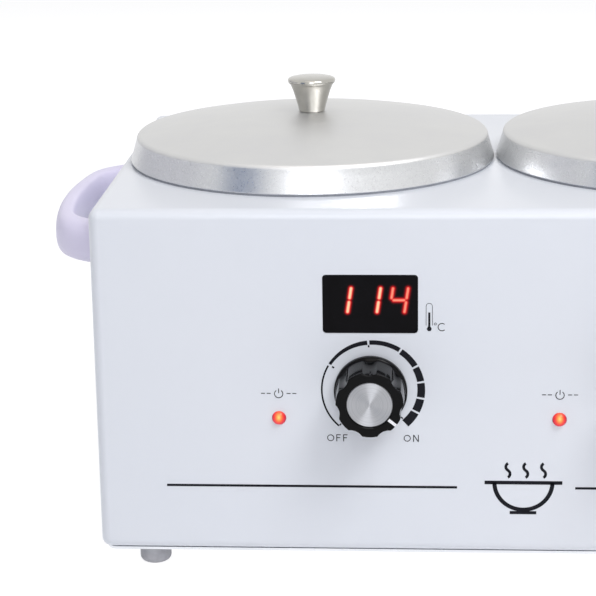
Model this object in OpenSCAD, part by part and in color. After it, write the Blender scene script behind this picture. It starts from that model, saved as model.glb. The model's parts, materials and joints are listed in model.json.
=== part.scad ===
// Twin-pot wax warmer: a painted steel case with two lift-out pots, spun
// lids, side handles and one set of controls for each pot.
// Right is +X, the front panel faces -Y, up is +Z, and the feet stand on Z = 0.

/* [Case] */
// Distance from a lid's edge to the side of the case
side_room = 4; // [2:0.5:30]
// Depth of the painted case, front to back
body_d = 230; // [224:1:280]
// Height of the painted case without its feet
body_h = 161; // [150:1:200]
// Outer radius of every folded edge of the case
edge_r = 4.5; // [2.5:0.5:6]
// Thickness of the case's sheet steel
sheet_t = 1.2; // [0.8:0.1:1.6]
// Width of the flange turned in around the open bottom
lip_w = 20; // [18:1:26]
// Thickness of the base plate
base_t = 1.2; // [0.8:0.1:2]
// Margin left around the base plate
base_inset = 2.5; // [2:0.5:5]
// Length of a vent slot in the base plate
vent_l = 60; // [30:1:80]
// Width of a vent slot
vent_w = 4.5; // [3:0.5:6]
// Number of vent slots on each side
vent_n = 6; // [3:1:8]

/* [Feet] */
// Diameter of a rubber foot
foot_d = 14.5; // [12:0.5:18]
// Height of the case above the table
foot_h = 9; // [7:0.5:14]
// Distance of a foot's centre from the front and back of the case
foot_in_y = 10; // [8.5:0.5:11]
// Distance of a foot's centre from the side of the case
foot_in_x = 24; // [12:1:40]

/* [Handles] */
// Half the length of a handle along the side
grip_half = 75; // [65:1:85]
// How far a handle stands out from the side
grip_out = 32; // [28:0.5:38]
// Radius of a handle's long outer curve
grip_r = 250; // [200:5:320]
// Radius of a handle's two outer corners
grip_corner_r = 34; // [28:1:40]
// Height of a handle
grip_h = 19.5; // [17:0.5:24]
// Width of the bar that the fingers close round
grip_bar = 10; // [8:0.5:13]
// Half the length of the finger opening
grip_gap_half = 57; // [48:1:60]
// Distance from the top of the case down to the top of a handle
grip_drop = 17.5; // [12:0.5:30]

/* [Pots] */
// Outer radius of a pot at its mouth
pot_r = 78.5; // [72:0.5:79]
// How much narrower a pot is at its floor
pot_draft = 4.5; // [2:0.5:8]
// Depth of a pot, rim to floor
pot_depth = 112; // [90:1:115]
// Wall thickness of a pot
pot_t = 1.5; // [1:0.1:2]
// Width of a pot's flat rim
pot_rim_w = 8; // [5:0.5:12]
// Gap between a pot and the well it drops into
pot_gap = 1.2; // [0.8:0.1:1.6]
// Gap between a pot's floor and the floor of its well
pot_floor_gap = 1; // [0.5:0.1:3]

/* [Lids] */
// Gap between the two lids
lid_gap = 1; // [0.5:0.5:20]
// How far a lid's lower edge reaches past the sealing ring
lid_lap = 0.6; // [0.3:0.1:2]
// How much narrower the lid is at the top of its skirt
lid_taper = 3.1; // [2:0.1:4]
// Height of the lid's skirt
lid_skirt_h = 12.9; // [10:0.1:16]
// Rise of the shallow dome above the skirt
lid_dome_h = 9.3; // [4:0.1:12]
// Wall thickness of the lid
lid_t = 1.2; // [0.8:0.1:1.6]
// Radius of the lid knob's flat top
lid_knob_r = 11.75; // [10:0.25:14]
// Radius of the lid knob where it meets the lid
lid_knob_foot_r = 6.4; // [5:0.2:8]
// Height of the lid knob
lid_knob_h = 17.5; // [14:0.5:24]

/* [Wells and heaters] */
// Wall thickness of a well
well_t = 0.8; // [0.6:0.1:1.2]
// How far the well's flange reaches past the pot's rim
flange_margin = 1; // [0.5:0.1:2]
// How far the sealing ring reaches past the well's flange
gasket_margin = 1.9; // [1.6:0.1:3]
// Thickness of the sealing ring
gasket_t = 1; // [0.6:0.1:1.5]
// Thickness of the heater band around a well
band_t = 3; // [2:0.1:3.2]
// Height of the heater band
band_h = 60; // [40:1:70]
// Thickness of the insulation blanket
wool_t = 5.4; // [3:0.1:5.4]
// Height of the insulation blanket
wool_h = 92; // [76:1:96]

/* [Controls] */
// Distance of the left dial from the middle of the case, to the left
dial_left = 59.2; // [52:0.1:62]
// Distance between the left and the right set of controls
group_pitch = 126; // [120:1:130]
// Distance of the dials below the top of the case
dial_drop = 83; // [78:0.5:90]
// Width of a display window
window_w = 42.2; // [38:0.2:46]
// Height of a display window
window_h = 26.7; // [22:0.1:30]
// Distance of a display window's centre below the top of the case
window_drop = 42.8; // [38:0.2:46]
// Corner radius of a display window
window_r = 1.6; // [1:0.1:3]
// Distance of a lamp to the left of its dial
lamp_left = 41.5; // [38:0.1:46]
// Distance of the lamps below the top of the case
lamp_drop = 96.5; // [92:0.5:104]
// Radius of a lamp's lens
lamp_r = 3.1; // [2.5:0.1:4]
// Radius of the dial knob's round skirt
dial_r = 16.5; // [16:0.5:19]
// Radius of the dial knob at its front face
dial_face_r = 15; // [14:0.1:16.5]
// How far the dial knob stands out from the panel
dial_out = 21; // [17:0.5:26]
// Number of flutes around the dial knob
flute_n = 7; // [5:1:9]
// Depth of a flute at the front face
flute_depth = 1.3; // [0.8:0.1:2]
// Radius of the metal disc in the dial knob
cap_r = 10.2; // [8:0.1:11]
// Radius of the control shaft
shaft_r = 3; // [2.5:0.1:3.2]

/* [Rear and electronics] */
// Width of the mains inlet's flange
inlet_w = 50; // [48:0.5:56]
// Height of the mains inlet's flange
inlet_h = 27; // [25:0.5:32]
// Thickness of the mains inlet's flange
inlet_flange_t = 3; // [2:0.5:4]
// Height of the mains inlet's centre above the underside of the case
inlet_up = 31; // [26:0.5:36]
// Width of the control board
board_w = 130; // [120:1:150]
// Depth of the control board
board_d = 70; // [66:1:80]
// Height of the spacers under the control board
spacer_h = 8; // [5:0.5:10]

/* [Hidden] */
$fn = 96;

// Clearances
eps = 0.5;               // how far a cutter runs past the face that it cuts
fit_gap = 0.15;          // between a fixed piece and its cut-out
seat_gap = 0.2;          // between curved pieces that are clamped together
shaft_gap = 0.05;        // between the control shaft and its bush
screw_gap = 0.1;         // between a screw and its clearance hole

// Screws, as [shank radius, head radius, head height]
m3 = [1.5, 2.8, 1.8];
m4 = [2, 3.8, 2.4];

// Heights
base_z = foot_h - base_t;
case_z = foot_h;
top_z = foot_h + body_h;
gasket_top = top_z + gasket_t;
flange_top = gasket_top + well_t;
rim_top = flange_top + pot_t;
pot_floor_z = rim_top - pot_depth;
well_floor_z = pot_floor_z - pot_floor_gap - well_t;
lid_top_z = gasket_top + lid_skirt_h + lid_dome_h;
dial_z = top_z - dial_drop;
window_z = top_z - window_drop;
lamp_z = top_z - lamp_drop;
grip_z = top_z - grip_drop - grip_h;
inlet_z = case_z + inlet_up;
band_z = well_floor_z + 22;
wool_z = well_floor_z + 8;
sheet_under = top_z - sheet_t;

// Radii
pot_floor_r = pot_r - pot_draft;
pot_rim_r = pot_r + pot_rim_w;
well_flange_r = pot_rim_r + flange_margin;
gasket_r = well_flange_r + gasket_margin;
lid_r = gasket_r + lid_lap;
well_r = pot_r + pot_gap + well_t;
hole_r = well_r + 1.5;
band_r = well_r + seat_gap;
wool_r = band_r + band_t + seat_gap;
lid_top_r = lid_r - lid_taper;
crease_r = 2.5;                              // where a lid's skirt turns into its dome
dome_edge = lid_top_r - crease_r;
dome_r = (dome_edge * dome_edge + lid_dome_h * lid_dome_h) / (2 * lid_dome_h);
seat_r = m4[1] + 1;                          // flat seat of the knob's screw under the dome
seat_drop = dome_r - sqrt(dome_r * dome_r - seat_r * seat_r);
pot_corner_r = 10;
rim_edge_r = 0.6;

// Places across the case
pot_pitch = 2 * lid_r + lid_gap;
body_w = pot_pitch + 2 * (lid_r + side_room);
side_x = body_w / 2;
front_y = -body_d / 2;
back_y = body_d / 2;
pot_x = pot_pitch / 2;
panel_in = front_y + sheet_t;
back_in = back_y - sheet_t;
rear_reach = inlet_flange_t + m3[2];
case_y = (dial_out - rear_reach) / 2;       // brings the whole object's middle to Y = 0
group_x = [-dial_left, group_pitch - dial_left];

// Screw and foot places
foot_recess = 3;                             // depth of the hole for the foot's screw head
foot_spots = [for (x = [-1, 1], y = [-1, 1]) [x * (side_x - foot_in_x), y * (back_y - foot_in_y)]];
lip_screw_x = 110;
base_screw_spots = [for (x = [-lip_screw_x, 0, lip_screw_x], y = [-1, 1]) [x, y * (back_y - foot_in_y)]];
grip_screw_y = (grip_half + grip_gap_half) / 2;
grip_screw_z = grip_z + grip_h / 2;
grip_screw_deep = 12;
inlet_screw_x = 20;
board_y = 10;
board_t = 1.6;
board_z = case_z + spacer_h;
board_top = board_z + board_t;
board_edge = 5;
board_spots = [for (x = [-1, 1], y = [-1, 1])
    [x * (board_w / 2 - board_edge), board_y + y * (board_d / 2 - board_edge)]];

// Window and display module
window_flange = 2;
window_flange_t = 1;
window_proud = 0.2;
module_t = 6;
module_board_w = window_w + 14;
module_board_h = window_h + 4;
module_y = panel_in + window_flange_t;

// Dial knob, control shaft and its carrier
bush_r = shaft_r + 1;
bush_hole_r = bush_r + screw_gap;
bush_out = 7;
nut_flat_r = 5.4;
nut_t = 2;
washer_t = 0.5;
can_r = 8.5;
can_l = 9;
shaft_in = 4;
knob_gap = 0.6;
skirt_t = 3.5;
knob_hollow_r = 8;
knob_hollow_l = bush_out + 1.5;
flute_r = 6;
flute_foot = 0.8;                            // the flutes start this far above the skirt
pointer_turn = -38.6;                        // the lobe that carries the pointer, from the right
cap_t = 1;
cap_recess = 0.6;
shaft_out = dial_out - 5;

// Mains inlet
socket_w = 24.4;
socket_h = 16.4;
socket_deep = 15;
inlet_body_w = 29;
inlet_body_h = 21;
inlet_body_l = 20;
blade = [2, 14, 4];
blade_spots = [[-7, -1], [0, 3], [7, -1]];
tab_l = 8;

// Electronics
tblock = [40, 12, 14];
tblock_in = [31, 15];                        // from the board's edges to the block's centre
tblock_at = [board_w / 2 - tblock_in[0], board_y + board_d / 2 - tblock_in[1]];
relay = [19, 15, 15];
relay_in = 17;
relay_x = tblock_at[0] - (tblock[0] + relay[0]) / 2 - 2.5;
relay_at = [for (s = [-1, 1]) [relay_x, board_y + s * (board_d / 2 - relay_in)]];
trafo = [34, 30, 24];
trafo_in = 28;
trafo_at = [trafo_in - board_w / 2, board_y];
wire_r = 1.2;
wire_pitch = 8;
wire_in = 15;                                // from the board's edge to the heater wires
cutout_r = 8;
cutout_h = 6;
probe_r = 3;
probe_h = 9;
probe_at = 30;

// Band clamp at the back of each well
clamp_gap = 6;
ear_t = 1.5;
ear_l = 12;
ear_h = 16;
clamp_z = band_z + band_h / 2;
clamp_y = band_r + band_t + ear_l / 2;
wool_notch = 46;
post_x = 15;
post_r = 2;
post_l = 9;
post_z = band_z + 12;

// Points of an arc from angle a0 to a1, in n steps
function arc(cx, cy, r, a0, a1, n) =
    [for (i = [0:n]) let (a = a0 + (a1 - a0) * i / n) [cx + r * cos(a), cy + r * sin(a)]];

// Rounded box with every edge turned to radius r, standing on Z = 0
module rounded_box(w, d, h, r) {
    x = w / 2 - r;
    y = d / 2 - r;
    translate([-x, -y, 0]) cube([2 * x, 2 * y, h]);
    translate([-w / 2, -y, r]) cube([w, 2 * y, h - 2 * r]);
    translate([-x, -d / 2, r]) cube([2 * x, d, h - 2 * r]);
    for (sx = [-1, 1], sy = [-1, 1]) {
        translate([sx * x, sy * y, r]) cylinder(r = r, h = h - 2 * r);
        for (z = [r, h - r]) translate([sx * x, sy * y, z]) sphere(r = r);
    }
    for (sy = [-1, 1], z = [r, h - r])
        translate([-x, sy * y, z]) rotate([0, 90, 0]) cylinder(r = r, h = 2 * x);
    for (sx = [-1, 1], z = [r, h - r])
        translate([sx * x, -y, z]) rotate([-90, 0, 0]) cylinder(r = r, h = 2 * y);
}

// Flat plate with round corners, centred on the Z axis and standing on Z = 0
module round_plate(w, h, r, t) {
    linear_extrude(t) {
        square([w - 2 * r, h], center = true);
        square([w, h - 2 * r], center = true);
        for (x = [-1, 1], y = [-1, 1])
            translate([x * (w / 2 - r), y * (h / 2 - r)]) circle(r = r);
    }
}

// Turns a piece drawn along +Z so that it runs from y along +Y at [x, z]
module along_y(x, y, z) {
    translate([x, y, z]) rotate([-90, 0, 0]) children();
}

// Pan-head screw with the head above Z = 0 and the shank below
module screw(size, length) {
    translate([0, 0, -length]) cylinder(r = size[0], h = length + size[2] / 2);
    rotate_extrude()
        polygon(concat([[0, 0], [size[1], 0]],
            arc(size[1] - size[2] * 0.8, size[2] * 0.2, size[2] * 0.8, 0, 90, 6),
            [[0, size[2]]]));
}

function unit(v) = v / norm(v);

// Direction of a route at each of its points
function headings(p) = let (last = len(p) - 1)
    [for (i = [0:last]) unit((i > 0 ? unit(p[i] - p[i - 1]) : [0, 0, 0]) +
        (i < last ? unit(p[i + 1] - p[i]) : [0, 0, 0]))];

// Carries a side direction along the route without twisting it
function carried(t, i) = i == 0 ?
    [unit(cross(t[0], abs(t[0][2]) > 0.9 ? [1, 0, 0] : [0, 0, 1]))] :
    let (before = carried(t, i - 1), n = before[i - 1])
    concat(before, [unit(n - t[i] * (n * t[i]))]);

// Closed skin over a list of rings that all have the same number of points
module skin(rings) {
    sides = len(rings[0]);
    last = len(rings) - 1;
    polyhedron([for (ring = rings) each ring], concat(
        [[for (k = [sides - 1:-1:0]) k]],
        [[for (k = [0:sides - 1]) last * sides + k]],
        [for (i = [0:last - 1], k = [0:sides - 1]) let (a = i * sides, b = (k + 1) % sides)
            each [[a + k, a + b, a + sides + b], [a + k, a + sides + b, a + sides + k]]]));
}

// Round wire of radius r swept along a list of points
module wire(points, r) {
    sides = 10;
    t = headings(points);
    n = carried(t, len(points) - 1);
    skin([for (i = [0:len(points) - 1]) [for (k = [0:sides - 1]) let (a = 360 * k / sides)
        points[i] + r * (cos(a) * n[i] + sin(a) * cross(t[i], n[i]))]]);
}

// Puts a piece at both pots, or at both sets of controls
module at_pots() {
    for (s = [-1, 1]) translate([s * pot_x, 0, 0]) children();
}

module place() {
    translate([0, case_y, 0]) children();
}

module housing() {
    color("#E4E7EF") difference() {
        translate([0, 0, case_z]) rounded_box(body_w, body_d, body_h, edge_r);
        translate([0, 0, case_z + sheet_t])
            rounded_box(body_w - 2 * sheet_t, body_d - 2 * sheet_t, body_h - 2 * sheet_t, edge_r - sheet_t);
        translate([lip_w - side_x, lip_w + front_y, case_z - eps])
            cube([body_w - 2 * lip_w, body_d - 2 * lip_w, sheet_t + 2 * eps]);
        at_pots() translate([0, 0, sheet_under - eps]) cylinder(r = hole_r, h = sheet_t + 2 * eps);
        for (x = group_x) {
            along_y(x, front_y - eps, window_z)
                round_plate(window_w + 2 * fit_gap, window_h + 2 * fit_gap, window_r, sheet_t + 2 * eps);
            along_y(x, front_y - eps, dial_z) cylinder(r = bush_hole_r, h = sheet_t + 2 * eps);
            along_y(x - lamp_left, front_y - eps, lamp_z)
                cylinder(r = lamp_r + fit_gap, h = sheet_t + 2 * eps);
        }
        for (p = concat(foot_spots, base_screw_spots))
            translate([p[0], p[1], case_z - eps]) cylinder(r = m3[0] + screw_gap, h = sheet_t + 2 * eps);
        for (s = [-1, 1], y = [-1, 1])
            translate([s * (side_x - sheet_t / 2), y * grip_screw_y, grip_screw_z]) rotate([0, 90, 0])
                cylinder(r = m4[0] + screw_gap, h = sheet_t + 2 * eps, center = true);
        along_y(0, back_y - sheet_t - eps, inlet_z)
            round_plate(inlet_body_w + 2 * fit_gap, inlet_body_h + 2 * fit_gap, 2, sheet_t + 2 * eps);
        for (x = [-1, 1])
            along_y(x * inlet_screw_x, back_y - sheet_t - eps, inlet_z)
                cylinder(r = m3[0] + screw_gap, h = sheet_t + 2 * eps);
    }
}

module base_plate() {
    vent_step = vent_w * 2.2;
    color("#B9BCC2") difference() {
        translate([0, 0, base_z])
            round_plate(body_w - 2 * base_inset, body_d - 2 * base_inset, edge_r, base_t);
        for (p = concat(foot_spots, base_screw_spots, board_spots))
            translate([p[0], p[1], base_z - eps]) cylinder(r = m3[0] + screw_gap, h = base_t + 2 * eps);
        for (s = [-1, 1], i = [0:vent_n - 1])
            translate([s * pot_x, (i - (vent_n - 1) / 2) * vent_step, base_z - eps])
                round_plate(vent_l, vent_w, vent_w / 2 - 0.01, base_t + 2 * eps);
    }
}

module base_screws() {
    color("#8F9299") for (p = base_screw_spots)
        translate([p[0], p[1], base_z]) rotate([180, 0, 0]) screw(m3, base_t + sheet_t + 4);
}

module feet() {
    foot_r = foot_d / 2;
    round_r = 2.4;
    head_r = m3[1] + 0.6;
    color("#8C8C92") for (p = foot_spots) translate([p[0], p[1], 0]) rotate_extrude()
        polygon(concat(
            [[m3[0] + screw_gap, base_z], [foot_r, base_z]],
            arc(foot_r - round_r, round_r, round_r, 0, -90, 6),
            [[head_r, 0], [head_r, foot_recess], [m3[0] + screw_gap, foot_recess]]));
}

module foot_screws() {
    color("#8F9299") for (p = foot_spots)
        translate([p[0], p[1], foot_recess]) rotate([180, 0, 0])
            screw(m3, base_z - foot_recess + base_t + sheet_t + 4);
}

// Corner centre of a D-shaped outline: it touches the long curve of radius
// long_r from inside and meets the side of the case at half
function grip_corner(half, out, corner_r, long_r) =
    let (
        a = [long_r - out, 0],
        to_b = [0, half] - a,
        d = norm(to_b),
        ra = long_r - corner_r,
        along = (ra * ra - corner_r * corner_r + d * d) / (2 * d),
        off = sqrt(max(0, ra * ra - along * along)),
        u = to_b / d
    )
    a + along * u + off * [-u[1], u[0]];

// D-shaped outline on the side X = 0 of the case, reaching out to -X: one long
// curve between two corners. It runs from -half to half.
function grip_outline(half, out, corner_r, long_r) =
    let (
        c = grip_corner(half, out, corner_r, long_r),
        turn = atan2(c[1], long_r - out - c[0]),
        finish = atan2(half - c[1], c[0]),
        upper = concat(
            [for (i = [0:5]) let (a = turn * i / 6)
                [long_r * (1 - cos(a)) - out, long_r * sin(a)]],
            [for (i = [0:12]) let (a = turn + (finish - turn) * i / 12)
                c + corner_r * [-cos(a), sin(a)]])
    )
    concat([for (i = [len(upper) - 1:-1:1]) [upper[i][0], -upper[i][1]]], upper);

// Section of the handle's bar, from -1 at the fingers to 1 outside, and from
// -1 to 1 in height: a round outside and a flat inside with small corners
grip_section = concat([[-1, 0.86], [-1, -0.86]],
    [for (a = [-90:15:90]) [-0.86 + 1.86 * pow(max(0, cos(a)), 0.8), sin(a)]]);

module handle() {
    outside = grip_outline(grip_half, grip_out, grip_corner_r, grip_r);
    inside = grip_outline(grip_gap_half, grip_out - grip_bar, grip_corner_r - grip_bar, grip_r - grip_bar);
    color("#CFCCE3") difference() {
        translate([-side_x, 0, grip_z + grip_h / 2])
            skin([for (i = [0:len(outside) - 1]) [for (q = grip_section) let (
                flat = (outside[i] + inside[i]) / 2 + q[0] * (outside[i] - inside[i]) / 2)
                [flat[0], flat[1], q[1] * grip_h / 2]]]);
        for (y = [-1, 1])
            translate([-side_x - grip_screw_deep, y * grip_screw_y, grip_screw_z]) rotate([0, 90, 0])
                cylinder(r = m4[0] + fit_gap, h = grip_screw_deep + eps);
    }
}

module handle_screws() {
    color("#8F9299") for (s = [0, 1], y = [-1, 1]) mirror([s, 0, 0])
        translate([sheet_t - side_x, y * grip_screw_y, grip_screw_z]) rotate([0, 90, 0])
            screw(m4, sheet_t + grip_screw_deep - 1);
}

// Outline of a lid's skin, from the lower edge nearly to the middle of the dome;
// thin is how far it lies inside the outer face
function lid_skin(thin) = concat(
    [[lid_r - thin, 0], [lid_top_r - thin, lid_skirt_h - crease_r]],
    arc(dome_edge, lid_skirt_h - crease_r, crease_r - thin, 15, 75, 4),
    arc(0, lid_skirt_h + lid_dome_h - dome_r, dome_r - thin, 90 - asin(dome_edge / dome_r), 88.5, 16));

module lid() {
    lid_h = lid_skirt_h + lid_dome_h;
    inside = lid_skin(lid_t);
    color("#C9C9C8") translate([0, 0, gasket_top]) difference() {
        rotate_extrude() polygon(concat(
            lid_skin(0),
            [[0, lid_h], [0, lid_h - lid_t - seat_drop], [seat_r, lid_h - lid_t - seat_drop]],
            [for (i = [len(inside) - 1:-1:0]) inside[i]]));
        cylinder(r = m4[0] + screw_gap, h = lid_h + eps);
    }
}

module lid_knob() {
    bore_deep = 10;
    lip = 1.2;
    color("#C8C4BC") translate([0, 0, lid_top_z]) difference() {
        rotate_extrude() polygon(concat(
            [[0, 0], [lid_knob_foot_r - 0.4, 0], [lid_knob_foot_r, 0.5]],
            [[lid_knob_foot_r + 0.5, 3], [lid_knob_foot_r + 2, 8], [lid_knob_r - 0.7, lid_knob_h - 3.2]],
            arc(lid_knob_r - lip, lid_knob_h - 2.1, lip, -20, 70, 5),
            [[lid_knob_r * 0.6, lid_knob_h - 0.3], [0, lid_knob_h]]));
        translate([0, 0, -eps]) cylinder(r = m4[0] + shaft_gap, h = bore_deep + eps);
    }
}

module lid_screw() {
    color("#8F9299") translate([0, 0, lid_top_z - lid_t - seat_drop]) rotate([180, 0, 0])
        screw(m4, lid_t + 8);
}

module pot() {
    base = pot_floor_z;
    t = pot_t;
    c = pot_corner_r;
    color("#C4C6C8") rotate_extrude() polygon(concat(
        [[0, base]],
        arc(pot_floor_r - c, base + c, c, -90, 0, 6),
        [[pot_r, flange_top], [pot_rim_r - rim_edge_r, flange_top]],
        arc(pot_rim_r - rim_edge_r, flange_top + t / 2, t / 2, -90, 90, 6),
        [[pot_r - t, rim_top]],
        arc(pot_floor_r - c, base + c, c - t, 0, -90, 6),
        [[0, base + t]]));
}

module well() {
    c = pot_corner_r / 2;
    color("#A9ADB3") rotate_extrude() polygon(concat(
        [[0, well_floor_z]],
        arc(well_r - c, well_floor_z + c, c, -90, 0, 6),
        [[well_r, gasket_top], [well_flange_r, gasket_top], [well_flange_r, flange_top]],
        [[well_r - well_t, flange_top]],
        arc(well_r - c, well_floor_z + c, c - well_t, 0, -90, 6),
        [[0, well_floor_z + well_t]]));
}

module gasket() {
    color("#3A3D45") translate([0, 0, top_z]) difference() {
        cylinder(r = gasket_r, h = gasket_t);
        translate([0, 0, -eps]) cylinder(r = hole_r, h = gasket_t + 2 * eps);
    }
}

module well_clips() {
    clip_t = 1.5;
    clip_w = 14;
    clip_leg = 12;
    color("#A9ADB3") at_pots() for (a = [45:90:315]) rotate([0, 0, a])
        translate([well_r + seat_gap, -clip_w / 2, sheet_under - clip_leg]) {
            cube([clip_t, clip_w, clip_leg]);
            translate([0, 0, clip_leg - clip_t]) cube([clip_leg, clip_w, clip_t]);
        }
}

module heater_band() {
    color("#B59A6A") difference() {
        union() {
            translate([0, 0, band_z]) cylinder(r = band_r + band_t, h = band_h);
            for (s = [-1, 1])
                translate([s * (clamp_gap + ear_t) / 2, band_r + band_t + ear_l / 2 - 1, clamp_z])
                    cube([ear_t, ear_l + 2, ear_h], center = true);
            for (s = [-1, 1]) along_y(s * post_x, band_r, post_z) cylinder(r = post_r, h = post_l);
        }
        translate([0, 0, band_z - eps]) cylinder(r = band_r, h = band_h + 2 * eps);
        translate([-clamp_gap / 2, 0, band_z - eps]) cube([clamp_gap, band_r * 2, band_h + 2 * eps]);
        translate([0, clamp_y, clamp_z]) rotate([0, 90, 0])
            cylinder(r = m3[0] + screw_gap, h = clamp_gap + 4 * ear_t, center = true);
    }
}

module band_clamp_screws() {
    head_x = clamp_gap / 2 + ear_t;
    nut = 2.2;
    color("#8F9299") at_pots() translate([head_x, clamp_y, clamp_z]) rotate([0, 90, 0]) {
        screw(m3, 2 * head_x + nut + 1);
        translate([0, 0, -2 * head_x - nut]) cylinder(r = m3[1], h = nut, $fn = 6);
    }
}

module insulation() {
    color("#E6DFC8") difference() {
        translate([0, 0, wool_z]) cylinder(r = wool_r + wool_t, h = wool_h);
        translate([0, 0, wool_z - eps]) cylinder(r = wool_r, h = wool_h + 2 * eps);
        translate([-wool_notch / 2, 0, wool_z - eps]) cube([wool_notch, wool_r * 2, wool_h + 2 * eps]);
    }
}

module thermal_cutout() {
    color("#2E2B29") translate([0, 0, well_floor_z - cutout_h]) {
        cylinder(r = cutout_r, h = cutout_h);
        for (s = [-1, 1]) translate([s * 5 - 2, -0.4, -5]) cube([4, 0.8, 6]);
    }
}

module temp_probe() {
    color("#B0A58C") translate([0, 0, well_floor_z - probe_h]) {
        cylinder(r = probe_r, h = probe_h);
        translate([0, 0, probe_h - 1]) cylinder(r = probe_r * 2, h = 1);
    }
}

module display_window() {
    along_y(0, front_y - window_proud, window_z)
        color("#1A181B")
            round_plate(window_w, window_h, window_r, sheet_t + window_proud + window_flange_t / 2);
    along_y(0, panel_in, window_z) color("#1A181B")
        round_plate(window_w + 2 * window_flange, window_h + 2 * window_flange, window_r, window_flange_t);
}

module display_module() {
    peg_r = 1.6;
    color("#3B3A3E") {
        translate([-window_w / 2 + 2, module_y, window_z - window_h / 2 + 4])
            cube([window_w - 4, module_t, window_h - 8]);
        translate([-module_board_w / 2, module_y + module_t, window_z - module_board_h / 2])
            cube([module_board_w, board_t, module_board_h]);
        for (x = [-1, 1], z = [-1, 1])
            along_y(x * (module_board_w / 2 - 3), panel_in, window_z + z * (module_board_h / 2 - 3))
                cylinder(r = peg_r, h = window_flange_t + module_t + board_t / 2);
    }
}

// Dial knob drawn with its axis on +Z and its back at Z = 0
module knob_blank() {
    l = dial_out - knob_gap;
    edge = 0.8;
    neck = dial_face_r + 0.5;
    difference() {
        rotate_extrude() polygon(concat(
            [[0, 0], [dial_r, 0]],
            arc(dial_r - 1, skirt_t - 1, 1, 0, 80, 4),
            [[neck, skirt_t + 0.4], [dial_face_r, l - edge]],
            arc(dial_face_r - edge, l - edge, edge, 0, 90, 4),
            [[0, l]]));
        for (i = [0:flute_n - 1]) rotate([0, 0, pointer_turn + (i + 0.5) * 360 / flute_n])
            translate([dial_face_r + flute_r - flute_depth, 0, skirt_t + flute_foot])
                cylinder(r = flute_r, h = l);
        translate([0, 0, l - cap_t - cap_recess])
            cylinder(r = cap_r + fit_gap, h = cap_t + cap_recess + eps);
        translate([0, 0, -eps]) cylinder(r = knob_hollow_r, h = knob_hollow_l + eps);
        translate([0, 0, -eps]) cylinder(r = shaft_r + shaft_gap, h = shaft_out - knob_gap + 0.5 + eps);
    }
}

// Puts a piece that is drawn along +Z on a dial's axis, facing the user
module on_dial(out) {
    translate([0, front_y - out, dial_z]) rotate([90, 0, 0]) children();
}

module dial_knob() {
    color("#232227") on_dial(knob_gap) knob_blank();
}

module dial_cap() {
    color("#C9CBD0") on_dial(dial_out - cap_t - cap_recess) cylinder(r = cap_r, h = cap_t);
}

module dial_shaft() {
    color("#B9B29A") on_dial(-sheet_t - shaft_in) cylinder(r = shaft_r, h = shaft_out + sheet_t + shaft_in);
}

module potentiometer() {
    pin_w = 1.4;
    color("#7E8794") difference() {
        union() {
            on_dial(-sheet_t - can_l) cylinder(r = can_r, h = can_l);
            on_dial(-sheet_t - 1) cylinder(r = bush_r, h = sheet_t + 1 + bush_out);
            for (i = [-1, 0, 1]) translate([i * 5 - pin_w / 2, panel_in + 3, dial_z - can_r - 5])
                cube([pin_w, 0.8, 7]);
        }
        on_dial(-sheet_t - shaft_in - 1)
            cylinder(r = shaft_r + shaft_gap, h = sheet_t + shaft_in + bush_out + 2);
    }
}

module dial_nuts() {
    color("#BFC2C7") for (x = group_x) translate([x, 0, 0]) difference() {
        union() {
            on_dial(0) cylinder(r = nut_flat_r + 1.6, h = washer_t);
            on_dial(washer_t) cylinder(r = nut_flat_r / cos(30), h = nut_t, $fn = 6);
        }
        on_dial(-eps) cylinder(r = bush_r + shaft_gap, h = washer_t + nut_t + 2 * eps);
    }
}

module lamp() {
    dome = 1.9;
    behind = 11;
    bend = (lamp_r * lamp_r + dome * dome) / (2 * dome);
    turn = asin(lamp_r / bend);
    color("#F0643C") translate([0, front_y, lamp_z]) rotate([90, 0, 0]) rotate_extrude() polygon(concat(
        [[0, -behind], [lamp_r - 0.5, -behind], [lamp_r, -behind + 0.5]],
        arc(0, dome - bend + 0.4, bend, 90 - turn, 88, 8),
        [[0, dome + 0.4]]));
}

module lamp_grommets() {
    color("#2B2B2E") for (x = group_x) along_y(x - lamp_left, panel_in, lamp_z) difference() {
        cylinder(r = lamp_r + 2.2, h = 5);
        translate([0, 0, -eps]) cylinder(r = lamp_r + shaft_gap, h = 5 + 2 * eps);
    }
}

module power_inlet() {
    shell = inlet_flange_t + inlet_body_l;
    color("#26262A") difference() {
        union() {
            along_y(0, back_y, inlet_z) round_plate(inlet_w, inlet_h, 4, inlet_flange_t);
            along_y(0, back_y - inlet_body_l, inlet_z)
                round_plate(inlet_body_w, inlet_body_h, 2, shell - inlet_flange_t / 2);
        }
        along_y(0, back_y + inlet_flange_t - socket_deep, inlet_z)
            round_plate(socket_w, socket_h, 2, socket_deep + eps);
        for (x = [-1, 1]) along_y(x * inlet_screw_x, back_y - eps, inlet_z)
            cylinder(r = m3[0] + screw_gap, h = inlet_flange_t + 2 * eps);
        for (p = blade_spots)
            translate([p[0] - blade[0] / 2, back_y - inlet_body_l - eps, inlet_z + p[1] - blade[2] / 2])
                cube([blade[0], inlet_body_l, blade[2]]);
    }
}

module inlet_pins() {
    back = back_y - inlet_body_l - tab_l;
    tip = back_y + inlet_flange_t - socket_deep + blade[1] - 2;
    color("#C8B88A") for (p = blade_spots)
        translate([p[0] - blade[0] / 2, back, inlet_z + p[1] - blade[2] / 2])
            cube([blade[0], tip - back, blade[2]]);
}

module inlet_screws() {
    color("#8F9299") for (x = [-1, 1])
        translate([x * inlet_screw_x, back_y + inlet_flange_t, inlet_z]) rotate([-90, 0, 0])
            screw(m3, inlet_flange_t + sheet_t + 5);
}

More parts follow.
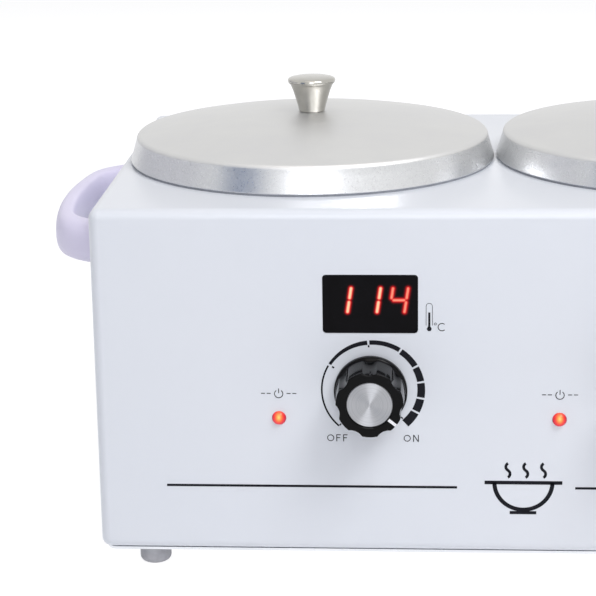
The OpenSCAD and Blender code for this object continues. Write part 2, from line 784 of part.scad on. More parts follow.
module control_board() {
    color("#2F6B4A") translate([0, board_y, board_z]) difference() {
        translate([-board_w / 2, -board_d / 2, 0]) cube([board_w, board_d, board_t]);
        for (p = board_spots) translate([p[0], p[1] - board_y, -eps])
            cylinder(r = m3[0] + screw_gap, h = board_t + 2 * eps);
    }
}

module board_spacers() {
    color("#D8D4C8") for (p = board_spots) translate([p[0], p[1], case_z]) difference() {
        cylinder(r = 3.5, h = spacer_h);
        translate([0, 0, -eps]) cylinder(r = m3[0] + screw_gap, h = spacer_h + 2 * eps);
    }
}

module board_screws() {
    color("#8F9299") for (p = board_spots)
        translate([p[0], p[1], board_top]) screw(m3, board_t + spacer_h + base_t + 0.5);
}

// Block that stands on the control board
module on_board(at, size) {
    translate([at[0] - size[0] / 2, at[1] - size[1] / 2, board_top]) cube(size);
}

module transformer() {
    color("#5A5148") {
        on_board(trafo_at, [trafo[0], trafo[1] - 12, trafo[2]]);
        on_board(trafo_at, [trafo[0] - 10, trafo[1], trafo[2] - 5]);
    }
}

module relays() {
    color("#2D5E9E") for (p = relay_at) on_board(p, relay);
}

module terminal_block() {
    color("#3F7F5A") difference() {
        on_board(tblock_at, tblock);
        for (i = [-2:2]) translate([tblock_at[0] + i * 7.5, tblock_at[1], board_top + tblock[2] - 4])
            cylinder(r = 2.2, h = 5);
    }
}

module mains_wires() {
    tail = back_y - inlet_body_l - tab_l;
    block_back = tblock_at[1] + tblock[1] / 2;
    entry_z = board_top + 5;
    color("#4A6FA8") for (i = [0:2]) {
        p = blade_spots[i];
        end_x = tblock_at[0] + (i - 1) * wire_pitch;
        wire([
            [p[0], tail, inlet_z + p[1]],
            [p[0], tail - 6, inlet_z + p[1]],
            [p[0] + 3, tail - 12, inlet_z + p[1] - 2],
            [end_x - 3, block_back + 16, entry_z + 4],
            [end_x, block_back + 10, entry_z],
            [end_x, block_back, entry_z]], wire_r);
    }
}

module heater_wires() {
    tip = band_r + post_l;
    start_y = board_y + board_d / 2 - 4;
    color("#B8483C") for (s = [-1, 1], k = [-1, 1]) {
        start_x = s * (board_w / 2 - wire_in + k * wire_pitch / 2);
        end_x = s * (pot_x + k * post_x);
        behind = (tip + back_in) / 2 - 2 * k;
        wire([
            [start_x, start_y, board_top],
            [start_x, start_y, board_top + 6],
            [start_x, start_y + 4, board_top + 10],
            [start_x, behind - 8, board_top + 12],
            [start_x + s * 8, behind, board_top + 14],
            [end_x - s * 8, behind, board_top + 18],
            [end_x, behind, board_top + 26],
            [end_x, behind, post_z - 5],
            [end_x, behind - 4, post_z],
            [end_x, tip, post_z]], wire_r);
    }
}

place() housing();
place() base_plate();
place() base_screws();
place() feet();
place() foot_screws();
place() handle();  // handle_left
place() mirror([1, 0, 0]) handle();  // handle_right
place() handle_screws();
place() translate([-pot_x, 0, 0]) lid();  // lid_left
place() translate([pot_x, 0, 0]) lid();  // lid_right
place() translate([-pot_x, 0, 0]) lid_knob();  // lid_knob_left
place() translate([pot_x, 0, 0]) lid_knob();  // lid_knob_right
place() translate([-pot_x, 0, 0]) lid_screw();  // lid_screw_left
place() translate([pot_x, 0, 0]) lid_screw();  // lid_screw_right
place() translate([-pot_x, 0, 0]) pot();  // pot_left
place() translate([pot_x, 0, 0]) pot();  // pot_right
place() translate([-pot_x, 0, 0]) well();  // well_left
place() translate([pot_x, 0, 0]) well();  // well_right
place() translate([-pot_x, 0, 0]) gasket();  // gasket_left
place() translate([pot_x, 0, 0]) gasket();  // gasket_right
place() well_clips();
place() translate([-pot_x, 0, 0]) heater_band();  // heater_band_left
place() translate([pot_x, 0, 0]) heater_band();  // heater_band_right
place() band_clamp_screws();
place() translate([-pot_x, 0, 0]) insulation();  // insulation_left
place() translate([pot_x, 0, 0]) insulation();  // insulation_right
place() translate([-pot_x, 0, 0]) thermal_cutout();  // thermal_cutout_left
place() translate([pot_x, 0, 0]) thermal_cutout();  // thermal_cutout_right
place() translate([-pot_x, probe_at, 0]) temp_probe();  // temp_probe_left
place() translate([pot_x, probe_at, 0]) temp_probe();  // temp_probe_right
place() translate([group_x[0], 0, 0]) display_window();  // display_window_left
place() translate([group_x[1], 0, 0]) display_window();  // display_window_right
place() translate([group_x[0], 0, 0]) display_module();  // display_module_left
place() translate([group_x[1], 0, 0]) display_module();  // display_module_right
place() translate([group_x[0], 0, 0]) dial_knob();  // dial_knob_left
place() translate([group_x[1], 0, 0]) dial_knob();  // dial_knob_right
place() translate([group_x[0], 0, 0]) dial_cap();  // dial_cap_left
place() translate([group_x[1], 0, 0]) dial_cap();  // dial_cap_right
place() translate([group_x[0], 0, 0]) dial_shaft();  // dial_shaft_left
place() translate([group_x[1], 0, 0]) dial_shaft();  // dial_shaft_right
place() translate([group_x[0], 0, 0]) potentiometer();  // potentiometer_left
place() translate([group_x[1], 0, 0]) potentiometer();  // potentiometer_right
place() dial_nuts();
place() translate([group_x[0] - lamp_left, 0, 0]) lamp();
place() translate([group_x[1] - lamp_left, 0, 0]) lamp();  // lamp_right
place() lamp_grommets();
place() power_inlet();
place() inlet_pins();
place() inlet_screws();
place() control_board();
place() board_spacers();
place() board_screws();
place() transformer();
place() relays();
place() terminal_block();
place() mains_wires();
place() heater_wires();
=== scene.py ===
# %% [markdown]
# # Twin-pot wax warmer
# A counter-top warmer: an enamelled steel case holds two round pots under
# spun aluminium lids. The solids come from the CAD model, which is loaded as a
# fixed frame. This file gives every visible piece its real form and finish.
# Lengths are typed in millimetres and turned to metres when a piece is placed.

# %% Load the frame
import json
import math

import bmesh
import bpy
from mathutils import Matrix, Vector

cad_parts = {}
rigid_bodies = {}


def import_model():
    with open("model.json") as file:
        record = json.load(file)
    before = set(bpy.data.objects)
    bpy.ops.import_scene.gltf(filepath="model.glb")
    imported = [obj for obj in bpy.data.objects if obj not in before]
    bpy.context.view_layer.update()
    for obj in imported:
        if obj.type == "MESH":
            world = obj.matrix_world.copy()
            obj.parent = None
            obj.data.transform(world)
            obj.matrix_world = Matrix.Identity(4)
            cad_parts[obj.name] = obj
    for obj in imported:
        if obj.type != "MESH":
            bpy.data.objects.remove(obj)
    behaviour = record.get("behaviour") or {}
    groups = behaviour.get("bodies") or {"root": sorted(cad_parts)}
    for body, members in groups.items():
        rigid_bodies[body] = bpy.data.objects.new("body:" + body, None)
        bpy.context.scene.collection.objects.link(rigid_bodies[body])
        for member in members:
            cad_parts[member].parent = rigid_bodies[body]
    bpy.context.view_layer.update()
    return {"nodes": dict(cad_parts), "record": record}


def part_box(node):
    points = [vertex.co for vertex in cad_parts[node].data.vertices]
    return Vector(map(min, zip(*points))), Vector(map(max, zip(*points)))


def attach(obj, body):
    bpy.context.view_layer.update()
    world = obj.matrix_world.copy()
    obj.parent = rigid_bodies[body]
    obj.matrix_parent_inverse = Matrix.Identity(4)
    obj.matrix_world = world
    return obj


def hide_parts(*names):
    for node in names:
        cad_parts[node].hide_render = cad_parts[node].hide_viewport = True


for leftover in list(bpy.data.objects):
    bpy.data.objects.remove(leftover)
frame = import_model()
MM = 0.001
SIDES = ("left", "right")


def box_mm(node):
    """Lowest and highest corner of a CAD node, in millimetres."""
    low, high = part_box(node)
    return low / MM, high / MM


case_low, case_high = box_mm("housing")
print("case, mm:", [round(v) for v in case_high - case_low])

# %% [markdown]
# ## Camera
# The picture was taken with a long lens from the height of a standing person,
# a little to the left of the middle. The camera is built from its three axes:
# the direction of view from its turn and tilt, then right and up, leaned by a
# small roll. The vertical shift crops the frame as the picture is cropped.

# %% Camera
CAMERA_AT = Vector((-0.03683, -0.91977, 0.36561))  # metres
CAMERA_TURN, CAMERA_TILT, CAMERA_ROLL = -3.80, 14.33, -0.93  # degrees
CAMERA_LENS = 115.13  # focal length, mm
CROP_SHIFT = -60 / 596  # as a share of the picture's width
turn, tilt, roll = (math.radians(a) for a in (CAMERA_TURN, CAMERA_TILT, CAMERA_ROLL))
forward = Vector(
    (math.sin(turn) * math.cos(tilt), math.cos(turn) * math.cos(tilt), -math.sin(tilt))
)
level = Vector((math.cos(turn), -math.sin(turn), 0))
above = level.cross(forward)
right = math.cos(roll) * level + math.sin(roll) * above
above = math.cos(roll) * above - math.sin(roll) * level
camera_data = bpy.data.cameras.new("camera")
camera_data.lens = CAMERA_LENS
camera_data.shift_y = CROP_SHIFT
camera = bpy.data.objects.new("camera", camera_data)
axes = Matrix((right, above, -forward)).transposed().to_4x4()
camera.matrix_world = Matrix.Translation(CAMERA_AT) @ axes
bpy.context.scene.collection.objects.link(camera)
bpy.context.scene.camera = camera
print("camera tilt, degrees:", round(math.degrees(tilt), 1))

# %% [markdown]
# ## Colours and nodes
# Colours are written as the sRGB hex that a picture shows, and one function
# turns them to the linear values that the renderer adds up. One more function
# adds any node: its own settings, its socket values and what feeds it.

# %% Colour and node helpers
def colour(code):
    """Linear RGBA of an sRGB hex code such as #E4E8F0."""
    parts = [int(code[i : i + 2], 16) / 255 for i in (1, 3, 5)]
    linear = [c / 12.92 if c <= 0.04045 else ((c + 0.055) / 1.055) ** 2.4 for c in parts]
    return linear + [1.0]


def add_node(material, kind, values=None, links=None, **settings):
    """Adds a node; values fill its sockets and links feed them from other nodes' sockets."""
    node = material.node_tree.nodes.new(kind)
    for name, value in settings.items():
        setattr(node, name, value)
    for socket, value in (values or {}).items():
        node.inputs[socket].default_value = value
    for socket, source in (links or {}).items():
        material.node_tree.links.new(source, node.inputs[socket])
    return node


def new_material(name, base, roughness, **sockets):
    """A material with a Principled shader; sockets are named with _ for a space."""
    material = bpy.data.materials.new(name)
    material.use_nodes = True
    shader = material.node_tree.nodes["Principled BSDF"]
    shader.inputs["Base Color"].default_value = colour(base)
    shader.inputs["Roughness"].default_value = roughness
    for socket, value in sockets.items():
        shader.inputs[socket.replace("_", " ")].default_value = value
    return material, shader


def ramp(material, factor, stops):
    """Colour ramp fed by factor; stops are (place, hex)."""
    node = add_node(material, "ShaderNodeValToRGB", links={"Fac": factor})
    points = node.color_ramp.elements
    while len(points) < len(stops):
        points.new(0.5)
    for point, (place, code) in zip(points, stops):
        point.position, point.color = place, colour(code)
    return node.outputs["Color"]


# %% [markdown]
# ## Floor, world and lamps
# The object stands on a plain white floor. To the camera and in reflections
# the floor is mostly its own white, with a thin diffuse share that keeps the
# shadow; to the light that bounces about it is a white diffuse table. Light
# comes from a high key lamp at the front right, a tall softbox in front, weak
# ones at the left, behind and overhead, and an even sky. Metal doesn't mirror
# the left and back ones, as they would clip to white against the white world.
# A blue-grey card stands to the left of the front softbox and a pale one low
# at the left side, where only reflections see them, as a photographer does to
# give pale metal an edge.

# %% Floor and world
def light_paths(material):
    """1 for camera, glossy and transmission rays, else 0."""
    path = add_node(material, "ShaderNodeLightPath")
    seen = path.outputs["Is Camera Ray"]
    for kind in ("Is Glossy Ray", "Is Transmission Ray"):
        seen = add_node(
            material, "ShaderNodeMath", links={0: seen, 1: path.outputs[kind]}, operation="MAXIMUM"
        ).outputs[0]
    return seen


FLOOR_R = 12  # metres
FLOOR_LIGHT = 0.88  # the floor's own white; lit, the diffuse share adds the rest
floor_white = bpy.data.materials.new("matt white floor")
floor_white.use_nodes = True
floor_white.node_tree.nodes.clear()
table = add_node(floor_white, "ShaderNodeBsdfDiffuse", {"Color": colour("#F2F2F4")})
glow = add_node(floor_white, "ShaderNodeEmission", {"Strength": FLOOR_LIGHT})
thin = add_node(floor_white, "ShaderNodeBsdfDiffuse", {"Color": colour("#8E8E90")})
both = add_node(floor_white, "ShaderNodeAddShader", links={0: glow.outputs[0], 1: thin.outputs[0]})
look = add_node(
    floor_white,
    "ShaderNodeMixShader",
    links={0: light_paths(floor_white), 1: table.outputs[0], 2: both.outputs[0]},
)
add_node(floor_white, "ShaderNodeOutputMaterial", links={"Surface": look.outputs[0]})


def stage(name, shape, material, place=Matrix()):
    """Makes a floor or a card, which isn't part of the object."""
    mesh = bpy.data.meshes.new(name)
    shape.to_mesh(mesh)
    shape.free()
    mesh.materials.append(material)
    piece = bpy.data.objects.new(name, mesh)
    piece.matrix_world = place
    bpy.context.scene.collection.objects.link(piece)
    return piece


shape = bmesh.new()
bmesh.ops.create_circle(shape, cap_ends=True, segments=64, radius=FLOOR_R)
stage("floor", shape, floor_white)

SKY = "#E4E6EC"
SKY_LEVEL = 0.37
world = bpy.data.worlds.new("studio")
bpy.context.scene.world = world
world.use_nodes = True
world.node_tree.nodes.clear()
seen = light_paths(world)
white = add_node(world, "ShaderNodeBackground", {"Color": (1, 1, 1, 1), "Strength": 1.0})
sky = add_node(world, "ShaderNodeBackground", {"Color": colour(SKY), "Strength": SKY_LEVEL})
mixed = add_node(
    world, "ShaderNodeMixShader", links={0: seen, 1: sky.outputs[0], 2: white.outputs[0]}
)
add_node(world, "ShaderNodeOutputWorld", links={"Surface": mixed.outputs[0]})

# %% Lamps
AIM = Vector((-0.05, 0, 0.12))  # metres; the lamps and cards face this point
CARD_HEIGHT = 0.9  # metres


def facing_object(at):
    """Matrix that stands at a point and turns -Z to the object."""
    at = Vector(at)
    return Matrix.Translation(at) @ (AIM - at).to_track_quat("-Z", "Y").to_matrix().to_4x4()


def softbox(name, at, width, height, power, tint, mirrored=True):
    """Rectangular lamp that faces the object; metal mirrors it unless told not to."""
    data = bpy.data.lights.new(name, "AREA")
    data.shape, data.size, data.size_y = "RECTANGLE", width, height
    data.energy, data.color = power, colour(tint)[:3]
    lamp = bpy.data.objects.new(name, data)
    lamp.matrix_world = facing_object(at)
    lamp.visible_glossy = mirrored
    bpy.context.scene.collection.objects.link(lamp)


# Each has its name, place, width and height in metres, watts and tint.
softbox("key softbox", (0.68, -0.78, 1.48), 0.7, 0.7, 15.5, "#FDFDFF")
softbox("front softbox", (0.00, -1.50, 0.95), 0.58, 1.2, 6.4, "#FAFBFF")
softbox("left softbox", (-1.35, 0.15, 0.50), 1.5, 1.1, 2.8, "#F6F6FF", mirrored=False)
softbox("back softbox", (0.10, 1.50, 0.80), 1.4, 1.0, 4.0, "#F6F6FF", mirrored=False)
softbox("top softbox", (0.05, -0.20, 1.55), 0.9, 0.9, 2.0, "#FFF2EC")

CARDS = (
    ("blue grey card", "#8E9FBD", 0.5, (-0.92, -0.95, 0.5)),
    ("pale card", "#F8F8FA", 1.6, (-1.30, 0.25, 0.25)),
)
for title, tone, width, at in CARDS:
    paper, shader = new_material(title, tone, 0.9)
    shape = bmesh.new()
    bmesh.ops.create_grid(shape, x_segments=1, y_segments=1, size=0.5)
    bmesh.ops.scale(shape, vec=(width, CARD_HEIGHT, 1), verts=shape.verts)
    card = stage(title, shape, paper, facing_object(at))
    for ray in ("camera", "diffuse", "shadow", "transmission"):
        setattr(card, "visible_" + ray, False)
bpy.context.scene.view_settings.view_transform = "Standard"

# %% [markdown]
# ## Finishes
# Most finishes here are one base material with three real traits: a slight
# change of tone across it, a slight change of gloss, and a fine relief. A
# noise in Object coordinates drives them, so the pattern stays on the piece,
# and its scale is one over the grain's size in millimetres.

# %% Finish helper
NOISE_LOW, NOISE_HIGH = 0.3, 0.7  # nearly all of a noise's values lie between these
PATCH_DETAIL, RELIEF_DETAIL = 3.0, 2.0


def grain(material, size, detail, stretch):
    """Noise with features of about size millimetres, stretched along an axis."""
    place = add_node(material, "ShaderNodeTexCoord")
    mapping = add_node(
        material, "ShaderNodeMapping", {"Scale": stretch}, {"Vector": place.outputs["Object"]}
    )
    noise = add_node(
        material,
        "ShaderNodeTexNoise",
        {"Scale": 1 / (size * MM), "Detail": detail, "Roughness": 0.55},
        {"Vector": mapping.outputs["Vector"]},
    )
    return noise.outputs["Fac"]


def dress(
    material, shader, tones, tone_size, gloss, gloss_size, relief=0, relief_size=1, stretch=(1, 1, 1)
):
    """Tone from one hex to the other, roughness from low to high, and relief in millimetres."""
    links = material.node_tree.links
    field = grain(material, tone_size, PATCH_DETAIL, stretch)
    tone = ramp(material, field, [(NOISE_LOW, tones[0]), (NOISE_HIGH, tones[1])])
    links.new(tone, shader.inputs["Base Color"])
    spread = add_node(
        material,
        "ShaderNodeMapRange",
        {"From Min": NOISE_LOW, "From Max": NOISE_HIGH, "To Min": gloss[0], "To Max": gloss[1]},
        {"Value": grain(material, gloss_size, PATCH_DETAIL, stretch)},
    )
    links.new(spread.outputs["Result"], shader.inputs["Roughness"])
    if relief:
        bump = add_node(
            material,
            "ShaderNodeBump",
            {"Strength": 1.0, "Distance": relief * MM},
            {"Height": grain(material, relief_size, RELIEF_DETAIL, stretch)},
        )
        links.new(bump.outputs["Normal"], shader.inputs["Normal"])


# %% Visible finishes
# Baked white enamel: even and glossy, with the faint peel of a sprayed coat.
enamel, shader = new_material(
    "baked white enamel", "#E1E5EA", 0.3, IOR=1.5, Coat_Weight=0.25, Coat_Roughness=0.12
)
dress(enamel, shader, ("#E0E4EA", "#E3E6EB"), 160, (0.29, 0.33), 30, 0.003, 1.8)

# Bead-blasted anodised aluminium: soft grey sheen, no reflections to speak of.
blasted, shader = new_material("blasted aluminium", "#D0D0D0", 0.5, Metallic=1.0)
dress(blasted, shader, ("#CFCFCF", "#D2D2D1"), 25, (0.44, 0.48), 12, 0.004, 0.5)

# Skirt of the lid: the same metal, less blasted, so it sparkles in the light.
# Its grain is drawn at 0.7 mm, coarser than the real 0.1 mm, so that it shows.
sparkling, shader = new_material("sparkling aluminium", "#D4D5D6", 0.3, Metallic=1.0)
dress(sparkling, shader, ("#CECFD1", "#D9DADB"), 0.7, (0.26, 0.36), 0.9, 0.008, 0.7)

# Satin nickel plate: warm grey, with clear soft bands of reflection.
nickel, shader = new_material("satin nickel", "#B8B6B0", 0.12, Metallic=1.0)
dress(nickel, shader, ("#B3B1AB", "#BDBBB5"), 6, (0.1, 0.16), 4, 0.002, 0.4)

# Lilac ABS handle: moulded and satin. The real plastic lets a little light into its edges; this finish is
# opaque.
lilac, shader = new_material("lilac abs", "#E2DDF2", 0.42, IOR=1.53)
dress(lilac, shader, ("#E0DBF0", "#E4DFF4"), 40, (0.40, 0.45), 14, 0.004, 0.9)

# Black polished ABS of the dial knob: near black, mirror-like in the flutes.
black_gloss, shader = new_material(
    "polished black abs", "#050506", 0.1, IOR=1.54, Specular_IOR_Level=0.1
)
dress(black_gloss, shader, ("#040405", "#08080A"), 8, (0.07, 0.12), 5, 0.002, 1.5)

# White paint that fills the pointer's groove: even and satin.
white_fill, shader = new_material("white filled paint", "#F4F5F7", 0.45)
dress(white_fill, shader, ("#F0F1F4", "#FAFAFB"), 2, (0.4, 0.5), 2)

# Screen-printed ink: navy black, slightly raised and a little duller than the enamel.
ink, shader = new_material("screen printed ink", "#0E0F18", 0.4, Specular_IOR_Level=0.15)
dress(ink, shader, ("#0B0C14", "#12131C"), 3, (0.36, 0.46), 2)

# Moulded rubber of the feet: dull, with a mottled surface.
rubber, shader = new_material("moulded grey rubber", "#A6A6AA", 0.6)
dress(rubber, shader, ("#9D9DA2", "#AEAEB2"), 4, (0.55, 0.68), 3, 0.01, 0.8)

# Silicone of the sealing rings: dull and slightly uneven.
silicone, shader = new_material("grey silicone seal", "#93969D", 0.6)
dress(silicone, shader, ("#8C8F96", "#9A9DA4"), 5, (0.52, 0.66), 4, 0.01, 0.8)

# Spun aluminium of the pots: fine rings from the spinning tool, seen as a
# stretched grain that runs round the pot; drawn as bands of height.
spun, shader = new_material("spun aluminium", "#C9CBCD", 0.3, Metallic=1.0)
dress(spun, shader, ("#BFC1C4", "#D2D4D6"), 1.6, (0.24, 0.38), 1.2, 0.006, 0.9, (0.03, 0.03, 1))

print("finishes so far:", len(bpy.data.materials))

# %% [markdown]
# ## Building round and flat pieces
# Round pieces are turned, as on a lathe: a half section is drawn as a chain of
# edges and spun about the axis. `place` is a matrix in metres, so that a
# piece is modelled about its own axis in millimetres and then put in place.

# %% Shape helpers
def arc(x, y, radius, start, end, steps):
    """Points of an arc, angles in degrees."""
    angles = [math.radians(start + (end - start) * i / steps) for i in range(steps + 1)]
    return [(x + radius * math.cos(a), y + radius * math.sin(a)) for a in angles]


def turned(profile, steps):
    """Spins a chain of (radius, height) points about the Z axis."""
    shape = bmesh.new()
    chain = [shape.verts.new((r, 0, z)) for r, z in profile]
    edges = [shape.edges.new(pair) for pair in zip(chain, chain[1:])]
    bmesh.ops.spin(
        shape, geom=chain + edges, axis=(0, 0, 1), cent=(0, 0, 0),
        angle=math.tau, steps=steps, use_merge=True,
    )
    return shape


def put(shape, name, body, materials, place, stands_for=(), sharp=32, choose=None):
    """Closes the mesh, turns its faces outwards, places it in metres and hangs it on its body."""
    bmesh.ops.remove_doubles(shape, verts=shape.verts, dist=1e-4)
    bmesh.ops.recalc_face_normals(shape, faces=shape.faces)
    for face in shape.faces:
        face.material_index = choose(face) if choose else 0
    bmesh.ops.transform(shape, matrix=place @ Matrix.Scale(MM, 4), verts=shape.verts)
    mesh = bpy.data.meshes.new(name)
    shape.to_mesh(mesh)
    shape.free()
    for material in materials:
        mesh.materials.append(material)
    mesh.shade_smooth()
    mesh.set_sharp_from_angle(angle=math.radians(sharp))
    piece = bpy.data.objects.new(name, mesh)
    bpy.context.scene.collection.objects.link(piece)
    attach(piece, body)
    if stands_for:
        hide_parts(*stands_for)
    return piece


def at_mm(x, y, z):
    """Placing matrix for a point in millimetres."""
    return Matrix.Translation(Vector((x, y, z)) * MM)


FACING = Matrix.Rotation(math.radians(90), 4, "X")  # local +Z comes out of the front panel


# %% [markdown]
# ## Case
# The case is folded sheet steel under white enamel. The CAD solid already has
# its rounded edges and its cut-outs, and its mesh carries exact normals, so it
# stays and only takes the enamel.

# %% Case
def paint(node, material):
    """Gives a CAD node a finish and leaves its mesh alone."""
    for cell in frame["nodes"][node].material_slots:
        cell.material = material


paint("housing", enamel)
print("painted:", "housing")

# %% [markdown]
# ## Lids
# Each lid is spun from aluminium sheet: a shallow dome, a soft crease and a
# slightly flared skirt. The section is a closed loop, outside and inside, so
# one spin gives the whole wall. Faces below the crease get the brighter finish.

# %% Lids
lid_low, lid_high = box_mm("lid_left")
LID_R, LID_TOP_R = 90, 86.9  # at the skirt's edge and at the crease
LID_SKIRT = 12.9  # height of the crease
LID_WALL = 1.2
LID_BORE = 2.1  # radius of the hole for the knob's screw
CREASE_R = 2.5
LID_DOME = lid_high.z - lid_low.z - LID_SKIRT
SKIRT_STATIONS = (0.04, 0.35, 0.7, 1)  # shares of the skirt's height
EDGE_Z = 0.45  # height of the rounded lower edge's centre
BRIGHT_RISE = 0.8  # how far the skirt's finish runs up the crease


def lid_line(inset):
    """Half section of the lid's skin, from its lower edge to the bore."""
    edge = LID_TOP_R - CREASE_R
    bend = (edge**2 + LID_DOME**2) / (2 * LID_DOME)
    fall = math.degrees(math.asin(edge / bend))
    bore = math.degrees(math.asin(LID_BORE / (bend - inset)))
    skirt = [
        (LID_R - inset - t * (LID_R - LID_TOP_R), t * (LID_SKIRT - CREASE_R))
        for t in SKIRT_STATIONS
    ]
    crease = arc(edge, LID_SKIRT - CREASE_R, CREASE_R - inset, 15, 75, 6)
    dome = arc(0, LID_SKIRT + LID_DOME - bend, bend - inset, 90 - fall, 90 - bore, 22)
    return skirt + crease + dome


def below_crease(face):
    """1, the brighter finish, for a face of the skirt, else 0."""
    return int(face.calc_center_median().z < LID_SKIRT - CREASE_R + BRIGHT_RISE)


for side in SIDES:
    low, high = box_mm(f"lid_{side}")
    centre = (low + high) / 2
    outer, inner = lid_line(0), lid_line(LID_WALL)
    rim = arc(LID_R - LID_WALL / 2, EDGE_Z, LID_WALL / 2, 180, 360, 6)
    loop = outer + inner[::-1] + rim + outer[:1]
    put(
        turned(loop, 180), f"lid_shell_{side}", f"lid_{side}", [blasted, sparkling],
        at_mm(centre.x, centre.y, low.z), [f"lid_{side}"],
        sharp=50, choose=below_crease,
    )
print("lid, mm across:", 2 * LID_R)

# %% [markdown]
# ## Lid knobs
# A turned, nickel-plated cone, narrow at the foot, with a rolled lip and a
# nearly flat top. Again one half section and one spin.

# %% Lid knobs
KNOB_TOP_R, KNOB_FOOT_R, KNOB_H = 11.75, 6.4, 17.5
KNOB_LIP = 1.5  # radius of the rolled lip
knob_foot = [
    (0, 0), (KNOB_FOOT_R - 0.5, 0), (KNOB_FOOT_R - 0.1, 0.15), (KNOB_FOOT_R + 0.1, 0.7),
]
knob_cone = [
    (KNOB_FOOT_R + 0.6, 3), (KNOB_FOOT_R + 1.6, 6.5), (KNOB_FOOT_R + 2.8, 10.4),
    (KNOB_TOP_R - 1.3, KNOB_H - 4.2),
]
knob_lip = arc(KNOB_TOP_R - KNOB_LIP, KNOB_H - 2.3, KNOB_LIP, -60, 72, 9)
knob_top = [
    (KNOB_TOP_R * share, KNOB_H - fall)
    for share, fall in ((0.75, 0.45), (0.5, 0.15), (0.25, 0.04), (0, 0))
]
for side in SIDES:
    low, high = box_mm(f"lid_knob_{side}")
    centre = (low + high) / 2
    put(
        turned(knob_foot + knob_cone + knob_lip + knob_top, 96),
        f"lid_grip_{side}", f"lid_{side}", [nickel],
        at_mm(centre.x, centre.y, low.z), [f"lid_knob_{side}"], sharp=40,
    )
print("lid knob, mm tall:", KNOB_H)

# %% [markdown]
# ## Handles
# A moulded lilac loop on each side: two round corners joined by one long
# curve, its bar round outside and flatter inside, wider where it meets the
# case. It is lofted: a ring is set at each station between an outer and an
# inner outline, and each ring is bridged to the next.

# %% Handles
GRIP_HALF, GRIP_OUT = 75, 32  # half its length on the case, and how far it stands out
GRIP_R, GRIP_CORNER = 250, 34  # outer radius of the long curve and of the corners
GRIP_BAR = 10  # thickness of the bar, outwards
GRIP_GAP = 57  # half the length of the finger gap
GRIP_SIDES = 28
BULGE_OUT, BULGE_IN, BULGE_TALL = 0.85, 0.42, 0.8  # 1 is round, less is squarer


def grip_outline(half, out, corner, long_r):
    """Outline (out from the side, along it) from one end to the other."""
    start = Vector((long_r - out, 0))
    to_end = Vector((0, half)) - start
    reach, gap = long_r - corner, to_end.length
    along = (reach**2 - corner**2 + gap**2) / (2 * gap)
    off = math.sqrt(max(0, reach**2 - along**2))
    unit = to_end / gap
    centre = start + along * unit + off * Vector((-unit.y, unit.x))
    turn = math.degrees(math.atan2(centre.y, long_r - out - centre.x))
    end = math.degrees(math.atan2(half - centre.y, centre.x))
    upper = arc(long_r - out, 0, long_r, 180, 180 - turn, 8)[:-1]
    upper += arc(centre.x, centre.y, corner, 180 - turn, 180 - end, 14)
    return [(x, -y) for x, y in upper[:0:-1]] + upper


def grip_ring():
    """Section of the bar: x from -1 at the fingers to 1 outside, y from -1 to 1 in height."""
    ring = []
    for i in range(GRIP_SIDES):
        a = math.tau * (i + 0.5) / GRIP_SIDES
        x, y = math.cos(a), math.sin(a)
        power = BULGE_OUT if x > 0 else BULGE_IN
        ring.append((math.copysign(abs(x) ** power, x), math.copysign(abs(y) ** BULGE_TALL, y)))
    return ring


def grip_shape(height):
    """Loft between the outer and the inner outline."""
    shape = bmesh.new()
    outside = grip_outline(GRIP_HALF, GRIP_OUT, GRIP_CORNER, GRIP_R)
    inside = grip_outline(
        GRIP_GAP, GRIP_OUT - GRIP_BAR, GRIP_CORNER - GRIP_BAR, GRIP_R - GRIP_BAR
    )
    last = None
    for (ox, oy), (ix, iy) in zip(outside, inside):
        middle = Vector(((ox + ix) / 2, (oy + iy) / 2))
        reach = Vector(((ox - ix) / 2, (oy - iy) / 2))
        ring = [
            shape.verts.new((middle.x + u * reach.x, middle.y + u * reach.y, v * height / 2))
            for u, v in grip_ring()
        ]
        edges = [shape.edges.new((a, b)) for a, b in zip(ring, ring[1:] + ring[:1])]
        if last:
            bmesh.ops.bridge_loops(shape, edges=last + edges)
        last = edges
    bmesh.ops.holes_fill(shape, edges=shape.edges, sides=0)
    return shape


for side, mirror in zip(SIDES, (1, -1)):
    low, high = box_mm(f"handle_{side}")
    shape = grip_shape(high.z - low.z)
    wall = high.x if mirror == 1 else low.x
    flip = Matrix.Diagonal((mirror, 1, 1, 1))
    place = at_mm(wall, (low.y + high.y) / 2, (low.z + high.z) / 2) @ flip
    put(
        shape, f"grip_{side}", "root", [lilac], place, [f"handle_{side}"], sharp=60
    )
print("handle stations:", len(grip_outline(GRIP_HALF, GRIP_OUT, GRIP_CORNER, GRIP_R)))

# %% [markdown]
# ## Dial knobs
# A black moulded knob: a round skirt against the panel, then a barrel with
# seven shallow flutes, and a flat face with a metal disc let into it. It is
# spun round, and then the barrel's points are pulled in along each flute.

# %% Dial knobs
DIAL_R, FACE_R, CAP_R, DIAL_BORE = 16.5, 15, 10.2, 3.2  # radii of skirt, barrel, disc, bore
DIAL_L, SKIRT = 20.35, 3.5  # heights of the whole knob and of its skirt
SHOULDER_R, FACE_EDGE_R = 1.4, 0.6  # roundings of the skirt and of the face's edge
CAP_SEAT = 1.6  # depth of the recess for the disc
FLUTES, FLUTE_DEEP, FLUTE_R, FLUTE_STEPS = 7, 1.3, 6.0, 32
FLUTE_RUN = 2.5  # height over which a flute comes to its depth
POINTER_AT = math.radians(-38.6)
POINTER_MIDDLE = (CAP_R + 0.35 + FACE_R - 0.1) / 2
POINTER_SIZE = (FACE_R - CAP_R - 0.6, 1.35, 0.16)
POINTER_SUNK = 0.04  # its middle lies this far under the face


